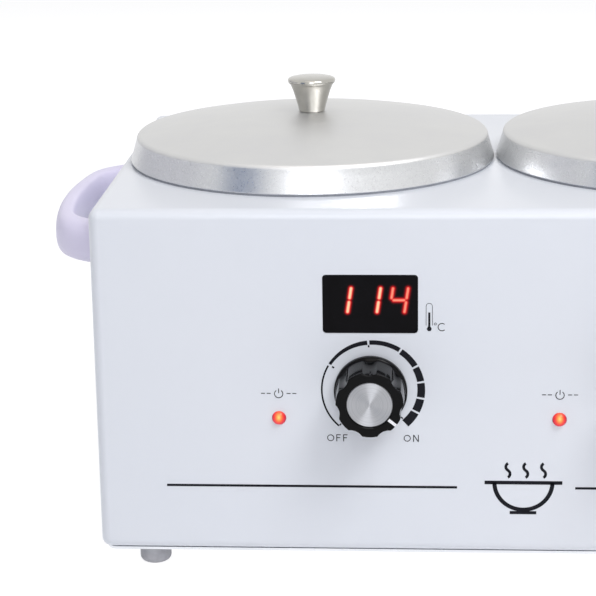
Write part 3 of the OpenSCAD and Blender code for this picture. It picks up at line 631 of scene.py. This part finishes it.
def flute(angle):
    """How far the barrel's surface is pulled in at that angle."""
    step = math.tau / FLUTES
    off = (angle - POINTER_AT) % step - step / 2
    centre = FACE_R - FLUTE_DEEP + FLUTE_R
    side = centre * math.sin(off)
    if abs(side) >= FLUTE_R:
        return 0
    return max(0, FACE_R - (centre * math.cos(off) - math.sqrt(FLUTE_R**2 - side**2)))


dial_skirt = [(DIAL_BORE, 0), (DIAL_R - 0.4, 0), (DIAL_R, 0.4)]
dial_skirt += arc(DIAL_R - SHOULDER_R, SKIRT - SHOULDER_R, SHOULDER_R, 5, 75, 6)
dial_barrel = [(FACE_R + 0.8, SKIRT + 0.1), (FACE_R + 0.55, SKIRT + 0.7)]
dial_barrel += [
    (FACE_R + 0.5 - 0.5 * t, SKIRT + 1.2 + t * (DIAL_L - SKIRT - 2))
    for t in (0, 0.25, 0.5, 0.75, 1)
]
dial_face = arc(FACE_R - FACE_EDGE_R, DIAL_L - FACE_EDGE_R, FACE_EDGE_R, 15, 90, 5)
dial_face += [(FACE_R - 2.2, DIAL_L), (CAP_R + 0.5, DIAL_L), (CAP_R + 0.15, DIAL_L - 0.25)]
dial_seat = [
    (CAP_R + 0.1, DIAL_L - CAP_SEAT), (DIAL_BORE, DIAL_L - CAP_SEAT), (DIAL_BORE, 0),
]
for side in SIDES:
    low, high = box_mm(f"dial_knob_{side}")
    axis = (low + high) / 2
    shape = turned(dial_skirt + dial_barrel + dial_face + dial_seat, FLUTES * FLUTE_STEPS)
    for vert in shape.verts:
        radius = math.hypot(vert.co.x, vert.co.y)
        if radius > CAP_R + 2 and vert.co.z > SKIRT + 0.3:  # the barrel alone
            share = min(1, (vert.co.z - SKIRT) / FLUTE_RUN)
            depth = flute(math.atan2(vert.co.y, vert.co.x)) * share
            vert.co.xy *= 1 - depth / radius
    place = at_mm(axis.x, high.y, axis.z) @ FACING
    put(
        shape, f"dial_grip_{side}", f"dial_{side}", [black_gloss], place,
        [f"dial_knob_{side}"], sharp=45,
    )
    line = bmesh.new()
    turn = Matrix.Rotation(POINTER_AT, 4, "Z")
    turn @= Matrix.Translation((POINTER_MIDDLE, 0, DIAL_L - POINTER_SUNK))
    bmesh.ops.create_cube(line, size=1, matrix=turn @ Matrix.Diagonal((*POINTER_SIZE, 1)))
    put(line, f"dial_pointer_{side}", f"dial_{side}", [white_fill], place)
print("dial, mm across:", 2 * DIAL_R)

# %% [markdown]
# ## Metal discs in the dial knobs
# The disc is turned aluminium. The lathe leaves rings, so light spreads
# across them into two opposite wedges, as on the back of a pan. The shader's
# anisotropy does this once it knows which way light spreads: straight out
# from the disc's centre. The rings are drawn coarser than a lathe's, to show.

# %% Dial discs
LATHE_RING, LATHE_RELIEF = 0.35, 0.006  # spacing and depth of the rings, mm


def turned_metal(name, centre):
    """Aluminium with rings about an axis along Y through centre, in metres."""
    material, shader = new_material(name, "#B4B6BA", 0.42, Metallic=1.0, Anisotropic=0.95)
    links = material.node_tree.links
    place = add_node(material, "ShaderNodeTexCoord")
    arm = add_node(
        material, "ShaderNodeVectorMath", {1: centre}, {0: place.outputs["Object"]}, operation="SUBTRACT"
    )
    outwards = add_node(
        material, "ShaderNodeVectorMath", {1: (1, 0, 1)}, {0: arm.outputs[0]}, operation="MULTIPLY"
    )
    world_way = add_node(
        material, "ShaderNodeVectorTransform", links={"Vector": outwards.outputs[0]},
        vector_type="VECTOR", convert_from="OBJECT", convert_to="WORLD",
    )
    links.new(world_way.outputs[0], shader.inputs["Tangent"])
    length = add_node(
        material, "ShaderNodeVectorMath", links={0: outwards.outputs[0]}, operation="LENGTH"
    )
    rings = add_node(
        material, "ShaderNodeTexNoise", {"Scale": 1 / (LATHE_RING * MM), "Detail": 1.0},
        {"W": length.outputs["Value"]}, noise_dimensions="1D",
    )
    bump = add_node(
        material, "ShaderNodeBump", {"Strength": 1.0, "Distance": LATHE_RELIEF * MM},
        {"Height": rings.outputs["Fac"]},
    )
    links.new(bump.outputs["Normal"], shader.inputs["Normal"])
    tone = ramp(material, rings.outputs["Fac"], [(0.35, "#A6A8AC"), (0.65, "#B8B9BD")])
    links.new(tone, shader.inputs["Base Color"])
    return material


cap_line = [
    (0, 0), (CAP_R - 0.25, 0), (CAP_R, 0.2), (CAP_R, 0.85), (CAP_R - 0.3, 1.15),
    (CAP_R * 0.5, 1.17), (0, 1.17),
]
for side in SIDES:
    low, high = box_mm(f"dial_cap_{side}")
    axis = (low + high) / 2
    metal = turned_metal(f"turned aluminium {side}", Vector((axis.x, axis.y, axis.z)) * MM)
    put(
        turned(cap_line, 96), f"dial_disc_{side}", f"dial_{side}", [metal],
        at_mm(axis.x, high.y, axis.z) @ FACING, [f"dial_cap_{side}"], sharp=30,
    )
print("disc, mm across:", 2 * CAP_R)

# %% [markdown]
# ## Display windows
# A smoked acrylic window lets the red digits of the module behind it through.
# The window's front is a fine grid. Each point of it stores how far it lies
# from the nearest lit bar, as an attribute, and the material turns that into a
# pale core, a red halo and the dark window, so no picture of digits is needed.

# %% Display windows
WINDOW_W, WINDOW_H, WINDOW_R = 42.2, 26.7, 1.6
WINDOW_COLUMNS, WINDOW_ROWS = 104, 66  # cells of about 0.4 mm, fine enough for the glow
WINDOW_BEVEL = 0.1
WINDOW_STEPS = ((-0.15, WINDOW_BEVEL), (-1.25, 0), (0, 2), (-1.0, 0))  # (back, outwards)
FRONT_DEPTH = 0.05  # points no deeper than this are on the front
DIGIT_TOP, DIGIT_LOW = 8.2, -4.4  # from the window's middle
SLANT = 1.9  # a digit's foot lies this far to the left of its top
BAR_SPLIT = (DIGIT_TOP + DIGIT_LOW) / 2
BAR_TRIM, SPLIT_GAP = 0.9, 1.0  # gaps at a bar's outer end and at the split
ONES = (-8.3, 4.8)
FOUR_LEFT, FOUR_RIGHT = 10.3, 17.0
FULL, DIM = 1.0, 0.87
CORE, HALO = 0.32, 2.1  # distances from a bar, full light and none


def slanted(x, z):
    """Point of a digit: x is its place at the digit's top."""
    return Vector((x - SLANT * (DIGIT_TOP - z) / (DIGIT_TOP - DIGIT_LOW), z))


def upright(x, upper):
    """One lit bar, upper or lower half."""
    above_split = (DIGIT_TOP - BAR_TRIM, BAR_SPLIT + SPLIT_GAP)
    below_split = (BAR_SPLIT - SPLIT_GAP, DIGIT_LOW + BAR_TRIM)
    return [slanted(x, z) for z in (above_split if upper else below_split)]


lit_bars = [(upright(x, upper), FULL) for x in ONES for upper in (True, False)]
lit_bars += [(upright(FOUR_RIGHT, upper), DIM) for upper in (True, False)]
lit_bars += [(upright(FOUR_LEFT, True), DIM)]
cross_from = slanted(FOUR_LEFT, BAR_SPLIT) + Vector((1.1, 0))
cross_to = slanted(FOUR_RIGHT, BAR_SPLIT) - Vector((1.0, 0))
lit_bars += [([cross_from, cross_to], DIM)]


def brightness(x, z):
    """1 in the core of a lit bar, falling to 0 at the edge of its halo."""
    best = 0
    for (a, b), level in lit_bars:
        along = b - a
        t = max(0, min(1, (Vector((x, z)) - a).dot(along) / along.length_squared))
        away = (Vector((x, z)) - a - t * along).length
        best = max(best, level * max(0, min(1, (HALO - away) / (HALO - CORE))))
    return best


smoked, shader = new_material(
    "smoked acrylic", "#0C0B0D", 0.09, IOR=1.49, Specular_IOR_Level=0.06, Emission_Strength=1.0
)
stored = add_node(smoked, "ShaderNodeAttribute", attribute_name="glow")
DIGIT_GLOW = [
    (0.0, "#000000"), (0.25, "#2C0204"), (0.5, "#860810"),
    (0.68, "#E02420"), (0.82, "#FF7464"), (1.0, "#FFDCAE"),
]
led = ramp(smoked, stored.outputs["Fac"], DIGIT_GLOW)
smoked.node_tree.links.new(led, shader.inputs["Emission Color"])
dress(smoked, shader, ("#0A090B", "#0F0E11"), 12, (0.07, 0.12), 9)


def window_shape():
    """Plate with a gridded front, round corners and the flange behind the panel."""
    shape = bmesh.new()
    bmesh.ops.create_grid(shape, x_segments=WINDOW_COLUMNS, y_segments=WINDOW_ROWS, size=0.5)
    bmesh.ops.scale(shape, vec=(WINDOW_W, WINDOW_H, 1), verts=shape.verts)
    corner = Vector((WINDOW_W / 2 - WINDOW_R, WINDOW_H / 2 - WINDOW_R))
    for vert in shape.verts:
        over = Vector((abs(vert.co.x) - corner.x, abs(vert.co.y) - corner.y))
        if over.x > 0 and over.y > 0 and over.length > 0:
            over *= max(over.x, over.y) / over.length
            vert.co.x = math.copysign(corner.x + over.x, vert.co.x)
            vert.co.y = math.copysign(corner.y + over.y, vert.co.y)
    rim = [e for e in shape.edges if e.is_boundary]
    for step, grow in WINDOW_STEPS:
        made = bmesh.ops.extrude_edge_only(shape, edges=rim)["geom"]
        rim = [g for g in made if isinstance(g, bmesh.types.BMEdge)]
        ring = [g for g in made if isinstance(g, bmesh.types.BMVert)]
        wider = (1 + 2 * grow / WINDOW_W, 1 + 2 * grow / WINDOW_H, 1)
        bmesh.ops.scale(shape, vec=wider, verts=ring)
        bmesh.ops.translate(shape, vec=(0, 0, step), verts=ring)
    bmesh.ops.holes_fill(shape, edges=rim, sides=0)
    return shape


for side in SIDES:
    low, high = box_mm(f"display_window_{side}")
    middle = (low + high) / 2
    shape = window_shape()
    room = (1 - 2 * WINDOW_BEVEL / WINDOW_W, 1 - 2 * WINDOW_BEVEL / WINDOW_H, 1)
    bmesh.ops.scale(shape, vec=room, verts=shape.verts)
    window = put(
        shape, f"window_{side}", "root", [smoked], at_mm(middle.x, low.y, middle.z) @ FACING,
        [f"display_window_{side}"], sharp=30,
    )
    glow_map = window.data.attributes.new("glow", "FLOAT", "POINT")
    for vert, item in zip(window.data.vertices, glow_map.data):
        if vert.co.y < (low.y + FRONT_DEPTH) * MM:
            item.value = brightness(vert.co.x / MM - middle.x, vert.co.z / MM - middle.z)
print("window points:", len(window.data.vertices))

# %% [markdown]
# ## Lamps
# A small domed lens of red plastic, lit from inside: pale where the light
# source sits, orange round it and crimson at the edge.

# %% Lamps
LENS_R, LENS_OUT, LENS_BACK = 3.1, 2.3, 11  # radius, reach out of and behind the panel
LENS_EDGE = 0.4  # the dome springs this far out
HOT_OUT, HOT_UP = 1.5, 0.9  # the light source, out of the panel and above the lens's middle
GLOW_REACH = 4.0
GLOW_SHAPE = (1.15, 0.4, 0.85)  # under 1 stretches the glow along that axis
LENS_GLOW = [
    (0.0, "#FFF08A"), (0.16, "#FFCB66"), (0.36, "#FF8A4C"),
    (0.55, "#F04A3A"), (0.8, "#C8243C"), (1.0, "#8E1A30"),
]


def lamp_lens(name, hot):
    """Glowing lens; hot is where the light source shows, in metres."""
    material, shader = new_material(
        name, "#70101C", 0.16, IOR=1.5, Specular_IOR_Level=0.25, Emission_Strength=0.95
    )
    place = add_node(material, "ShaderNodeTexCoord")
    arm = add_node(
        material, "ShaderNodeVectorMath", {1: hot}, {0: place.outputs["Object"]}, operation="SUBTRACT"
    )
    squash = add_node(
        material, "ShaderNodeVectorMath", {1: GLOW_SHAPE}, {0: arm.outputs[0]}, operation="MULTIPLY"
    )
    away = add_node(
        material, "ShaderNodeVectorMath", links={0: squash.outputs[0]}, operation="LENGTH"
    )
    far = add_node(
        material, "ShaderNodeMapRange", {"From Min": 0.0, "From Max": GLOW_REACH * MM},
        {"Value": away.outputs["Value"]},
    )
    lit = ramp(material, far.outputs["Result"], LENS_GLOW)
    material.node_tree.links.new(lit, shader.inputs["Emission Color"])
    dress(material, shader, ("#680E18", "#7A1220"), 2, (0.12, 0.2), 2)
    return material


lens_line = [(0, -LENS_BACK), (LENS_R - 0.5, -LENS_BACK), (LENS_R, -LENS_BACK + 0.5), (LENS_R, 0.2)]
lens_bend = (LENS_R**2 + (LENS_OUT - LENS_EDGE) ** 2) / (2 * (LENS_OUT - LENS_EDGE))
open_angle = math.degrees(math.asin(LENS_R / lens_bend))
lens_line += arc(0, LENS_OUT - lens_bend, lens_bend, 90 - open_angle, 90, 12)
for side in SIDES:
    low, high = box_mm(f"lamp_{side}")
    axis = (low + high) / 2
    hot = Vector((axis.x, case_low.y - HOT_OUT, axis.z + HOT_UP)) * MM
    put(
        turned(lens_line, 48), f"lens_{side}", "root", [lamp_lens(f"lit red lens {side}", hot)],
        at_mm(axis.x, case_low.y, axis.z) @ FACING, [f"lamp_{side}"], sharp=30,
    )
print("lens, mm across:", 2 * LENS_R)

# %% [markdown]
# ## Printed marks
# Scale rings, letters and lines are ink on the enamel. Everything is made of
# two strokes, a straight bar and a bent band, laid flat in panel millimetres
# (x to the right, y up from the top edge of the case) and then given the
# ink's thickness. Ink is 0.1 mm here, thicker than real, so it reads cleanly.

# %% Stroke helpers
INK_T, INK_SUNK = 0.1, 0.02  # thickness, and how much of it is in the enamel
STROKE = 0.38  # usual width of a stroke


def bar(shape, ax, ay, bx, by, width=STROKE):
    """Straight stroke from a to b."""
    a, b = Vector((ax, ay, 0)), Vector((bx, by, 0))
    way = Matrix.Rotation(math.atan2(by - ay, bx - ax), 4, "Z")
    size = Matrix.Diagonal(((b - a).length, width, 1, 1))
    bmesh.ops.create_grid(
        shape, x_segments=1, y_segments=1, size=0.5, matrix=Matrix.Translation((a + b) / 2) @ way @ size
    )


def band(shape, x, y, radius, start, end, widths=(STROKE, STROKE)):
    """Bent stroke whose outer edge has that radius; its width goes from the first to the second."""
    turn = math.radians(end - start)
    steps = max(6, int(abs(end - start) * radius / 60))  # of about 1 mm
    place = Matrix.Translation((x, y, 0)) @ Matrix.Rotation(math.radians(start), 4, "Z")
    before = set(shape.verts)
    ends = [shape.verts.new(place @ Vector((r, 0, 0))) for r in (radius - widths[0], radius)]
    bmesh.ops.spin(
        shape, geom=ends + [shape.edges.new(ends)], axis=(0, 0, 1), cent=(x, y, 0), angle=turn, steps=steps
    )
    for vert in set(shape.verts) - before:
        arm = vert.co - Vector((x, y, 0))
        if arm.length < radius - widths[0] / 2:
            t = (math.degrees(math.atan2(arm.y, arm.x)) - start) / (end - start)
            whole = 360 / (end - start)  # the angle may be a full turn off
            t = min((abs(k + t) for k in (-whole, 0, whole)), key=lambda v: abs(v - 0.5))
            arm *= (radius - widths[0] - t * (widths[1] - widths[0])) / arm.length
            vert.co = arm + Vector((x, y, 0))


def letter(shape, which, x, y, h=3.3):
    """Thin capital of height h whose lower left corner is at x, y."""
    s = STROKE / 2
    if which == "O":
        band(shape, x + h / 2, y + h / 2, h / 2, 0, 360)
    elif which == "C":
        band(shape, x + h / 2, y + h / 2, h / 2, 48, 312)
    elif which == "F":
        bar(shape, x + s, y, x + s, y + h)
        bar(shape, x + 2 * s, y + h - s, x + 0.6 * h, y + h - s)
        bar(shape, x + 2 * s, y + 0.52 * h, x + 0.52 * h, y + 0.52 * h)
    elif which == "N":
        bar(shape, x + s, y, x + s, y + h)
        bar(shape, x + 2 * s, y + h - s, x + 0.78 * h - 2 * s, y + s)
        bar(shape, x + 0.78 * h - s, y, x + 0.78 * h - s, y + h)


def print_on_panel(shape, name):
    """Gives the flat strokes the ink's thickness and lays them on the front of the case."""
    thick = bmesh.ops.extrude_face_region(shape, geom=shape.faces[:])["geom"]
    top = [g for g in thick if isinstance(g, bmesh.types.BMVert)]
    bmesh.ops.translate(shape, vec=(0, 0, INK_T), verts=top)
    place = at_mm(0, case_low.y + INK_SUNK, case_high.z) @ FACING
    put(shape, name, "root", [ink], place, sharp=20)


# %% [markdown]
# ### Scale round each dial
# The ring starts as a thin line at OFF and gets heavier towards ON, cut into
# blocks by small gaps, with short ticks inwards at two of them.

# %% Scale rings and labels
RING_X, RING_R = 1, 23.4  # centre, right of the dial's, and outer radius
RING_BLOCKS = [  # (first angle, last angle, first width, last width)
    (228, 150.2, 0.75, 0.8), (147.8, 96.2, 1.35, 2.05), (93.8, 57.7, 2.05, 2.1),
    (55.3, 31.2, 2.7, 2.75), (28.8, 11.2, 3.1, 3.2), (8.8, -8.8, 3.4, 3.5),
    (-11.2, -26.8, 3.6, 3.7), (-29.2, -47.2, 3.9, 4.1),
]
TICKS = [  # (angle, inner radius, outer radius, width)
    (149, 20.2, 21.3, 0.7), (95, 20.2, 21.2, 0.7), (-45.2, 17.9, 19.0, 0.6), (228, 21.6, 22.6, 0.6),
]
LABEL_Y = -107.5
LABELS = (("O", -19.9), ("F", -15.7), ("F", -12.6), ("O", 14.7), ("N", 19.0))
UNIT_X, UNIT_Y, UNIT_H = 29.9, -55.3, 3.9  # the unit's letter
DEGREE_X, DEGREE_Y, DEGREE_R = 28.9, -51.9, 0.65
TUBE_X, TUBE_TOP, TUBE_LOW, TUBE_R = 26.2, -43.7, -52.6, 1.5  # thermometer's outline
BULB_Y, BULB_R, BULB_FILL = -54.2, 1.15, 1.1
COLUMN_LOW, COLUMN_TOP, COLUMN_W = -53.2, -46.6, 0.95
FINE = 0.22  # stroke of the thermometer's outline
for side in SIDES:
    low, high = box_mm(f"dial_knob_{side}")
    x = (low.x + high.x) / 2
    y = (low.z + high.z) / 2 - case_high.z
    shape = bmesh.new()
    for start, end, first, last in RING_BLOCKS:
        band(shape, x + RING_X, y, RING_R, start, end, (first, last))
    for angle, inner, outer, width in TICKS:
        c, s = math.cos(math.radians(angle)), math.sin(math.radians(angle))
        tick_x = x + RING_X
        bar(shape, tick_x + inner * c, y + inner * s, tick_x + outer * c, y + outer * s, width)
    for which, dx in LABELS:
        letter(shape, which, x + dx, LABEL_Y)
    letter(shape, "C", x + UNIT_X, UNIT_Y, UNIT_H)
    band(shape, x + DEGREE_X, DEGREE_Y, DEGREE_R, 0, 360, (0.25, 0.25))
    tube = x + TUBE_X
    band(shape, tube, BULB_Y, BULB_R, 0, 360, (BULB_FILL, BULB_FILL))
    bar(shape, tube, COLUMN_LOW, tube, COLUMN_TOP, COLUMN_W)
    band(shape, tube, TUBE_TOP, TUBE_R, 0, 180, (FINE, FINE))
    for dx in (FINE / 2 - TUBE_R, TUBE_R - FINE / 2):
        bar(shape, tube + dx, TUBE_TOP, tube + dx, TUBE_LOW, FINE)
    print_on_panel(shape, f"scale_print_{side}")
print("blocks in a ring:", len(RING_BLOCKS))

# %% [markdown]
# ### Lamp mark, lines and the mark between them
# Each lamp has the common power sign over it, between small dashes. Two
# long lines run along the foot of the panel, and a plain bowl with three
# waves of heat stands between them.

# %% Lamp marks and lower line
SIGN_Y, SIGN_R = -84.8, 2.1
DASHES = ((3.6, 5.4), (6.2, 8.0))
for side in SIDES:
    low, high = box_mm(f"lamp_{side}")
    x = (low.x + high.x) / 2
    shape = bmesh.new()
    band(shape, x, SIGN_Y - 0.2, SIGN_R, 125, 415)
    bar(shape, x, SIGN_Y + 0.1, x, SIGN_Y + 2.3)
    for way in (-1, 1):
        for near, far in DASHES:
            bar(shape, x + way * near, SIGN_Y, x + way * far, SIGN_Y)
    print_on_panel(shape, f"lamp_print_{side}")

LINE_Y, LINE_W = -129.3, 1.1
LINE_RUNS = ((-152.8, -20.3), (32.9, 152.8))
BOWL_X, BRIM_Y, FOOT_Y = 9.6, -126.8, -141.3
BOWL_R, BRIM_HALF, FOOT_HALF = 14, 17.5, 6
WAVE_R, WAVE_W = 2.6, 1.3
shape = bmesh.new()
for line_from, line_to in LINE_RUNS:
    bar(shape, line_from, LINE_Y, line_to, LINE_Y, LINE_W)
band(shape, BOWL_X, BRIM_Y, BOWL_R, 180, 360, (1.9, 1.9))
bar(shape, BOWL_X - BRIM_HALF, BRIM_Y, BOWL_X + BRIM_HALF, BRIM_Y, 1.7)
bar(shape, BOWL_X - FOOT_HALF, FOOT_Y, BOWL_X + FOOT_HALF, FOOT_Y, 1.5)
for dx in (-8, 0, 8):  # each wave is two arcs, the upper one bent the other way
    band(shape, BOWL_X + dx, -122.6, WAVE_R, -60, 60, (WAVE_W, WAVE_W))
    band(shape, BOWL_X + dx + 1.95, -119.2, WAVE_R, 120, 240, (WAVE_W, WAVE_W))
print_on_panel(shape, "panel_print")
print("lower line, mm from the case's top:", -LINE_Y)

# %% [markdown]
# ## Pots
# The pots are spun aluminium with a flat rim, and show as soon as a lid is
# lifted. Each is turned like the lids, its wall drawn outside and then inside.
# The wells that they drop into keep their CAD mesh.

# %% Pots
POT_R, POT_FLOOR_R = 78.5, 74  # at the rim and at the floor
POT_CORNER, POT_T = 10, 1.5  # outer radius of the floor's corner, thickness of the wall
for side in SIDES:
    low, high = box_mm(f"pot_{side}")
    centre = (low + high) / 2
    rim_r, depth = (high.x - low.x) / 2, high.z - low.z
    corner_x = POT_FLOOR_R - POT_CORNER
    outside = [(0, 0)] + arc(corner_x, POT_CORNER, POT_CORNER, -90, 0, 10)
    outside += [(POT_R - 0.3, depth - POT_T - 0.4), (POT_R + 0.4, depth - POT_T)]
    rim = arc(rim_r - POT_T / 2, depth - POT_T / 2, POT_T / 2, -90, 90, 8)
    inside = [
        (POT_R - POT_T + 1.1, depth), (POT_R - POT_T + 0.3, depth - 0.3),
        (POT_R - POT_T, depth - 1.1),
    ]
    inside += arc(corner_x, POT_CORNER, POT_CORNER - POT_T, 0, -90, 10) + [(0, POT_T)]
    put(
        turned(outside + rim + inside, 144), f"pot_shell_{side}", f"pot_{side}", [spun],
        at_mm(centre.x, centre.y, low.z), [f"pot_{side}"], sharp=40,
    )
print("pot, mm across and deep:", round(2 * rim_r), round(depth))

# %% [markdown]
# ## Finishes of the parts inside and behind
# Every other CAD node keeps its mesh and takes a finish by its material slot,
# whose name says what the piece is made of. Each row gives the two tones, the
# roughness range, the metal share, the relief and the grain, in millimetres.
# The meshes that were replaced are hidden, and take the nearest finish too, so
# that no node is left bare.

# %% Finishes by slot
TONE_GRAINS, GLOSS_GRAINS = 4, 3  # size of the patches of tone and gloss, in grains
SLOT_FINISH = {
    "base_steel": ("bright zinc sheet", "#DADDE2", "#E7E9ED", 0.22, 0.34, 1, 0.004, 9),
    "well_steel": ("drawn steel well", "#A3A7AC", "#B9BCC1", 0.3, 0.45, 1, 0.004, 3),
    "screw_steel": ("zinc plated screw", "#8A8D93", "#A3A6AC", 0.25, 0.4, 1, 0.004, 1.5),
    "band_steel": ("aluminised heater band", "#AE9768", "#BFA777", 0.4, 0.55, 1, 0.006, 4),
    "mineral_wool": ("pressed mineral wool", "#DDD5BC", "#EFE8D2", 0.9, 1.0, 0, 0.4, 1.2),
    "module_plastic": ("matt black module", "#313034", "#434247", 0.5, 0.65, 0, 0.01, 1.5),
    "shaft_brass": ("turned brass shaft", "#A89A6E", "#C2B487", 0.25, 0.35, 1, 0.003, 0.8),
    "can_steel": ("nickel plated can", "#78818E", "#8E97A3", 0.28, 0.4, 1, 0.003, 2),
    "inlet_plastic": ("moulded nylon inlet", "#212125", "#2D2D32", 0.42, 0.58, 0, 0.012, 0.9),
    "pin_brass": ("nickelled brass blade", "#BCAE84", "#D2C59C", 0.22, 0.34, 1, 0.002, 1),
    "board_laminate": ("green lacquered laminate", "#27593E", "#357450", 0.3, 0.45, 0, 0.01, 2.5),
    "spacer_nylon": ("natural nylon", "#CFCBBE", "#E0DCD0", 0.45, 0.6, 0, 0.008, 1.5),
    "core_steel": ("varnished core steel", "#4E463D", "#665C50", 0.4, 0.6, 0.6, 0.02, 0.8),
    "relay_plastic": ("blue relay case", "#27548D", "#336AAC", 0.35, 0.5, 0, 0.008, 2),
    "block_plastic": ("green terminal block", "#387250", "#478B63", 0.4, 0.55, 0, 0.01, 1.5),
    "cutout_phenolic": ("brown phenolic", "#282523", "#383431", 0.45, 0.6, 0, 0.01, 1),
    "probe_steel": ("probe cap steel", "#A2977F", "#BCB298", 0.3, 0.45, 1, 0.004, 1),
    "wire_blue": ("blue pvc wire", "#42639A", "#5379B4", 0.4, 0.55, 0, 0.01, 1.2),
    "wire_red": ("red silicone wire", "#A84036", "#C25146", 0.5, 0.65, 0, 0.01, 1.2),
}
slot_material = {
    "case_paint": enamel, "foot_rubber": rubber, "seal_silicone": silicone,
    "lid_aluminium": blasted, "knob_nickel": nickel, "grip_plastic": lilac,
    "dial_plastic": black_gloss, "pot_aluminium": spun, "window_acrylic": smoked,
    "cap_aluminium": spun, "lamp_lens": smoked,
}
for slot_name, row in SLOT_FINISH.items():
    title, dark, light, low_gloss, high_gloss, metal, relief, size = row
    material, shader = new_material(title, light, high_gloss, Metallic=metal)
    dress(
        material, shader, (dark, light), size * TONE_GRAINS, (low_gloss, high_gloss),
        size * GLOSS_GRAINS, relief, size,
    )
    slot_material[slot_name] = material
for row in frame["record"]["subparts"]:
    paint(row["node"], slot_material[row["material_slot"]])
shown = [n for n, o in frame["nodes"].items() if not o.hide_render]
print("CAD nodes shown:", len(shown), "replaced:", len(frame["nodes"]) - len(shown))
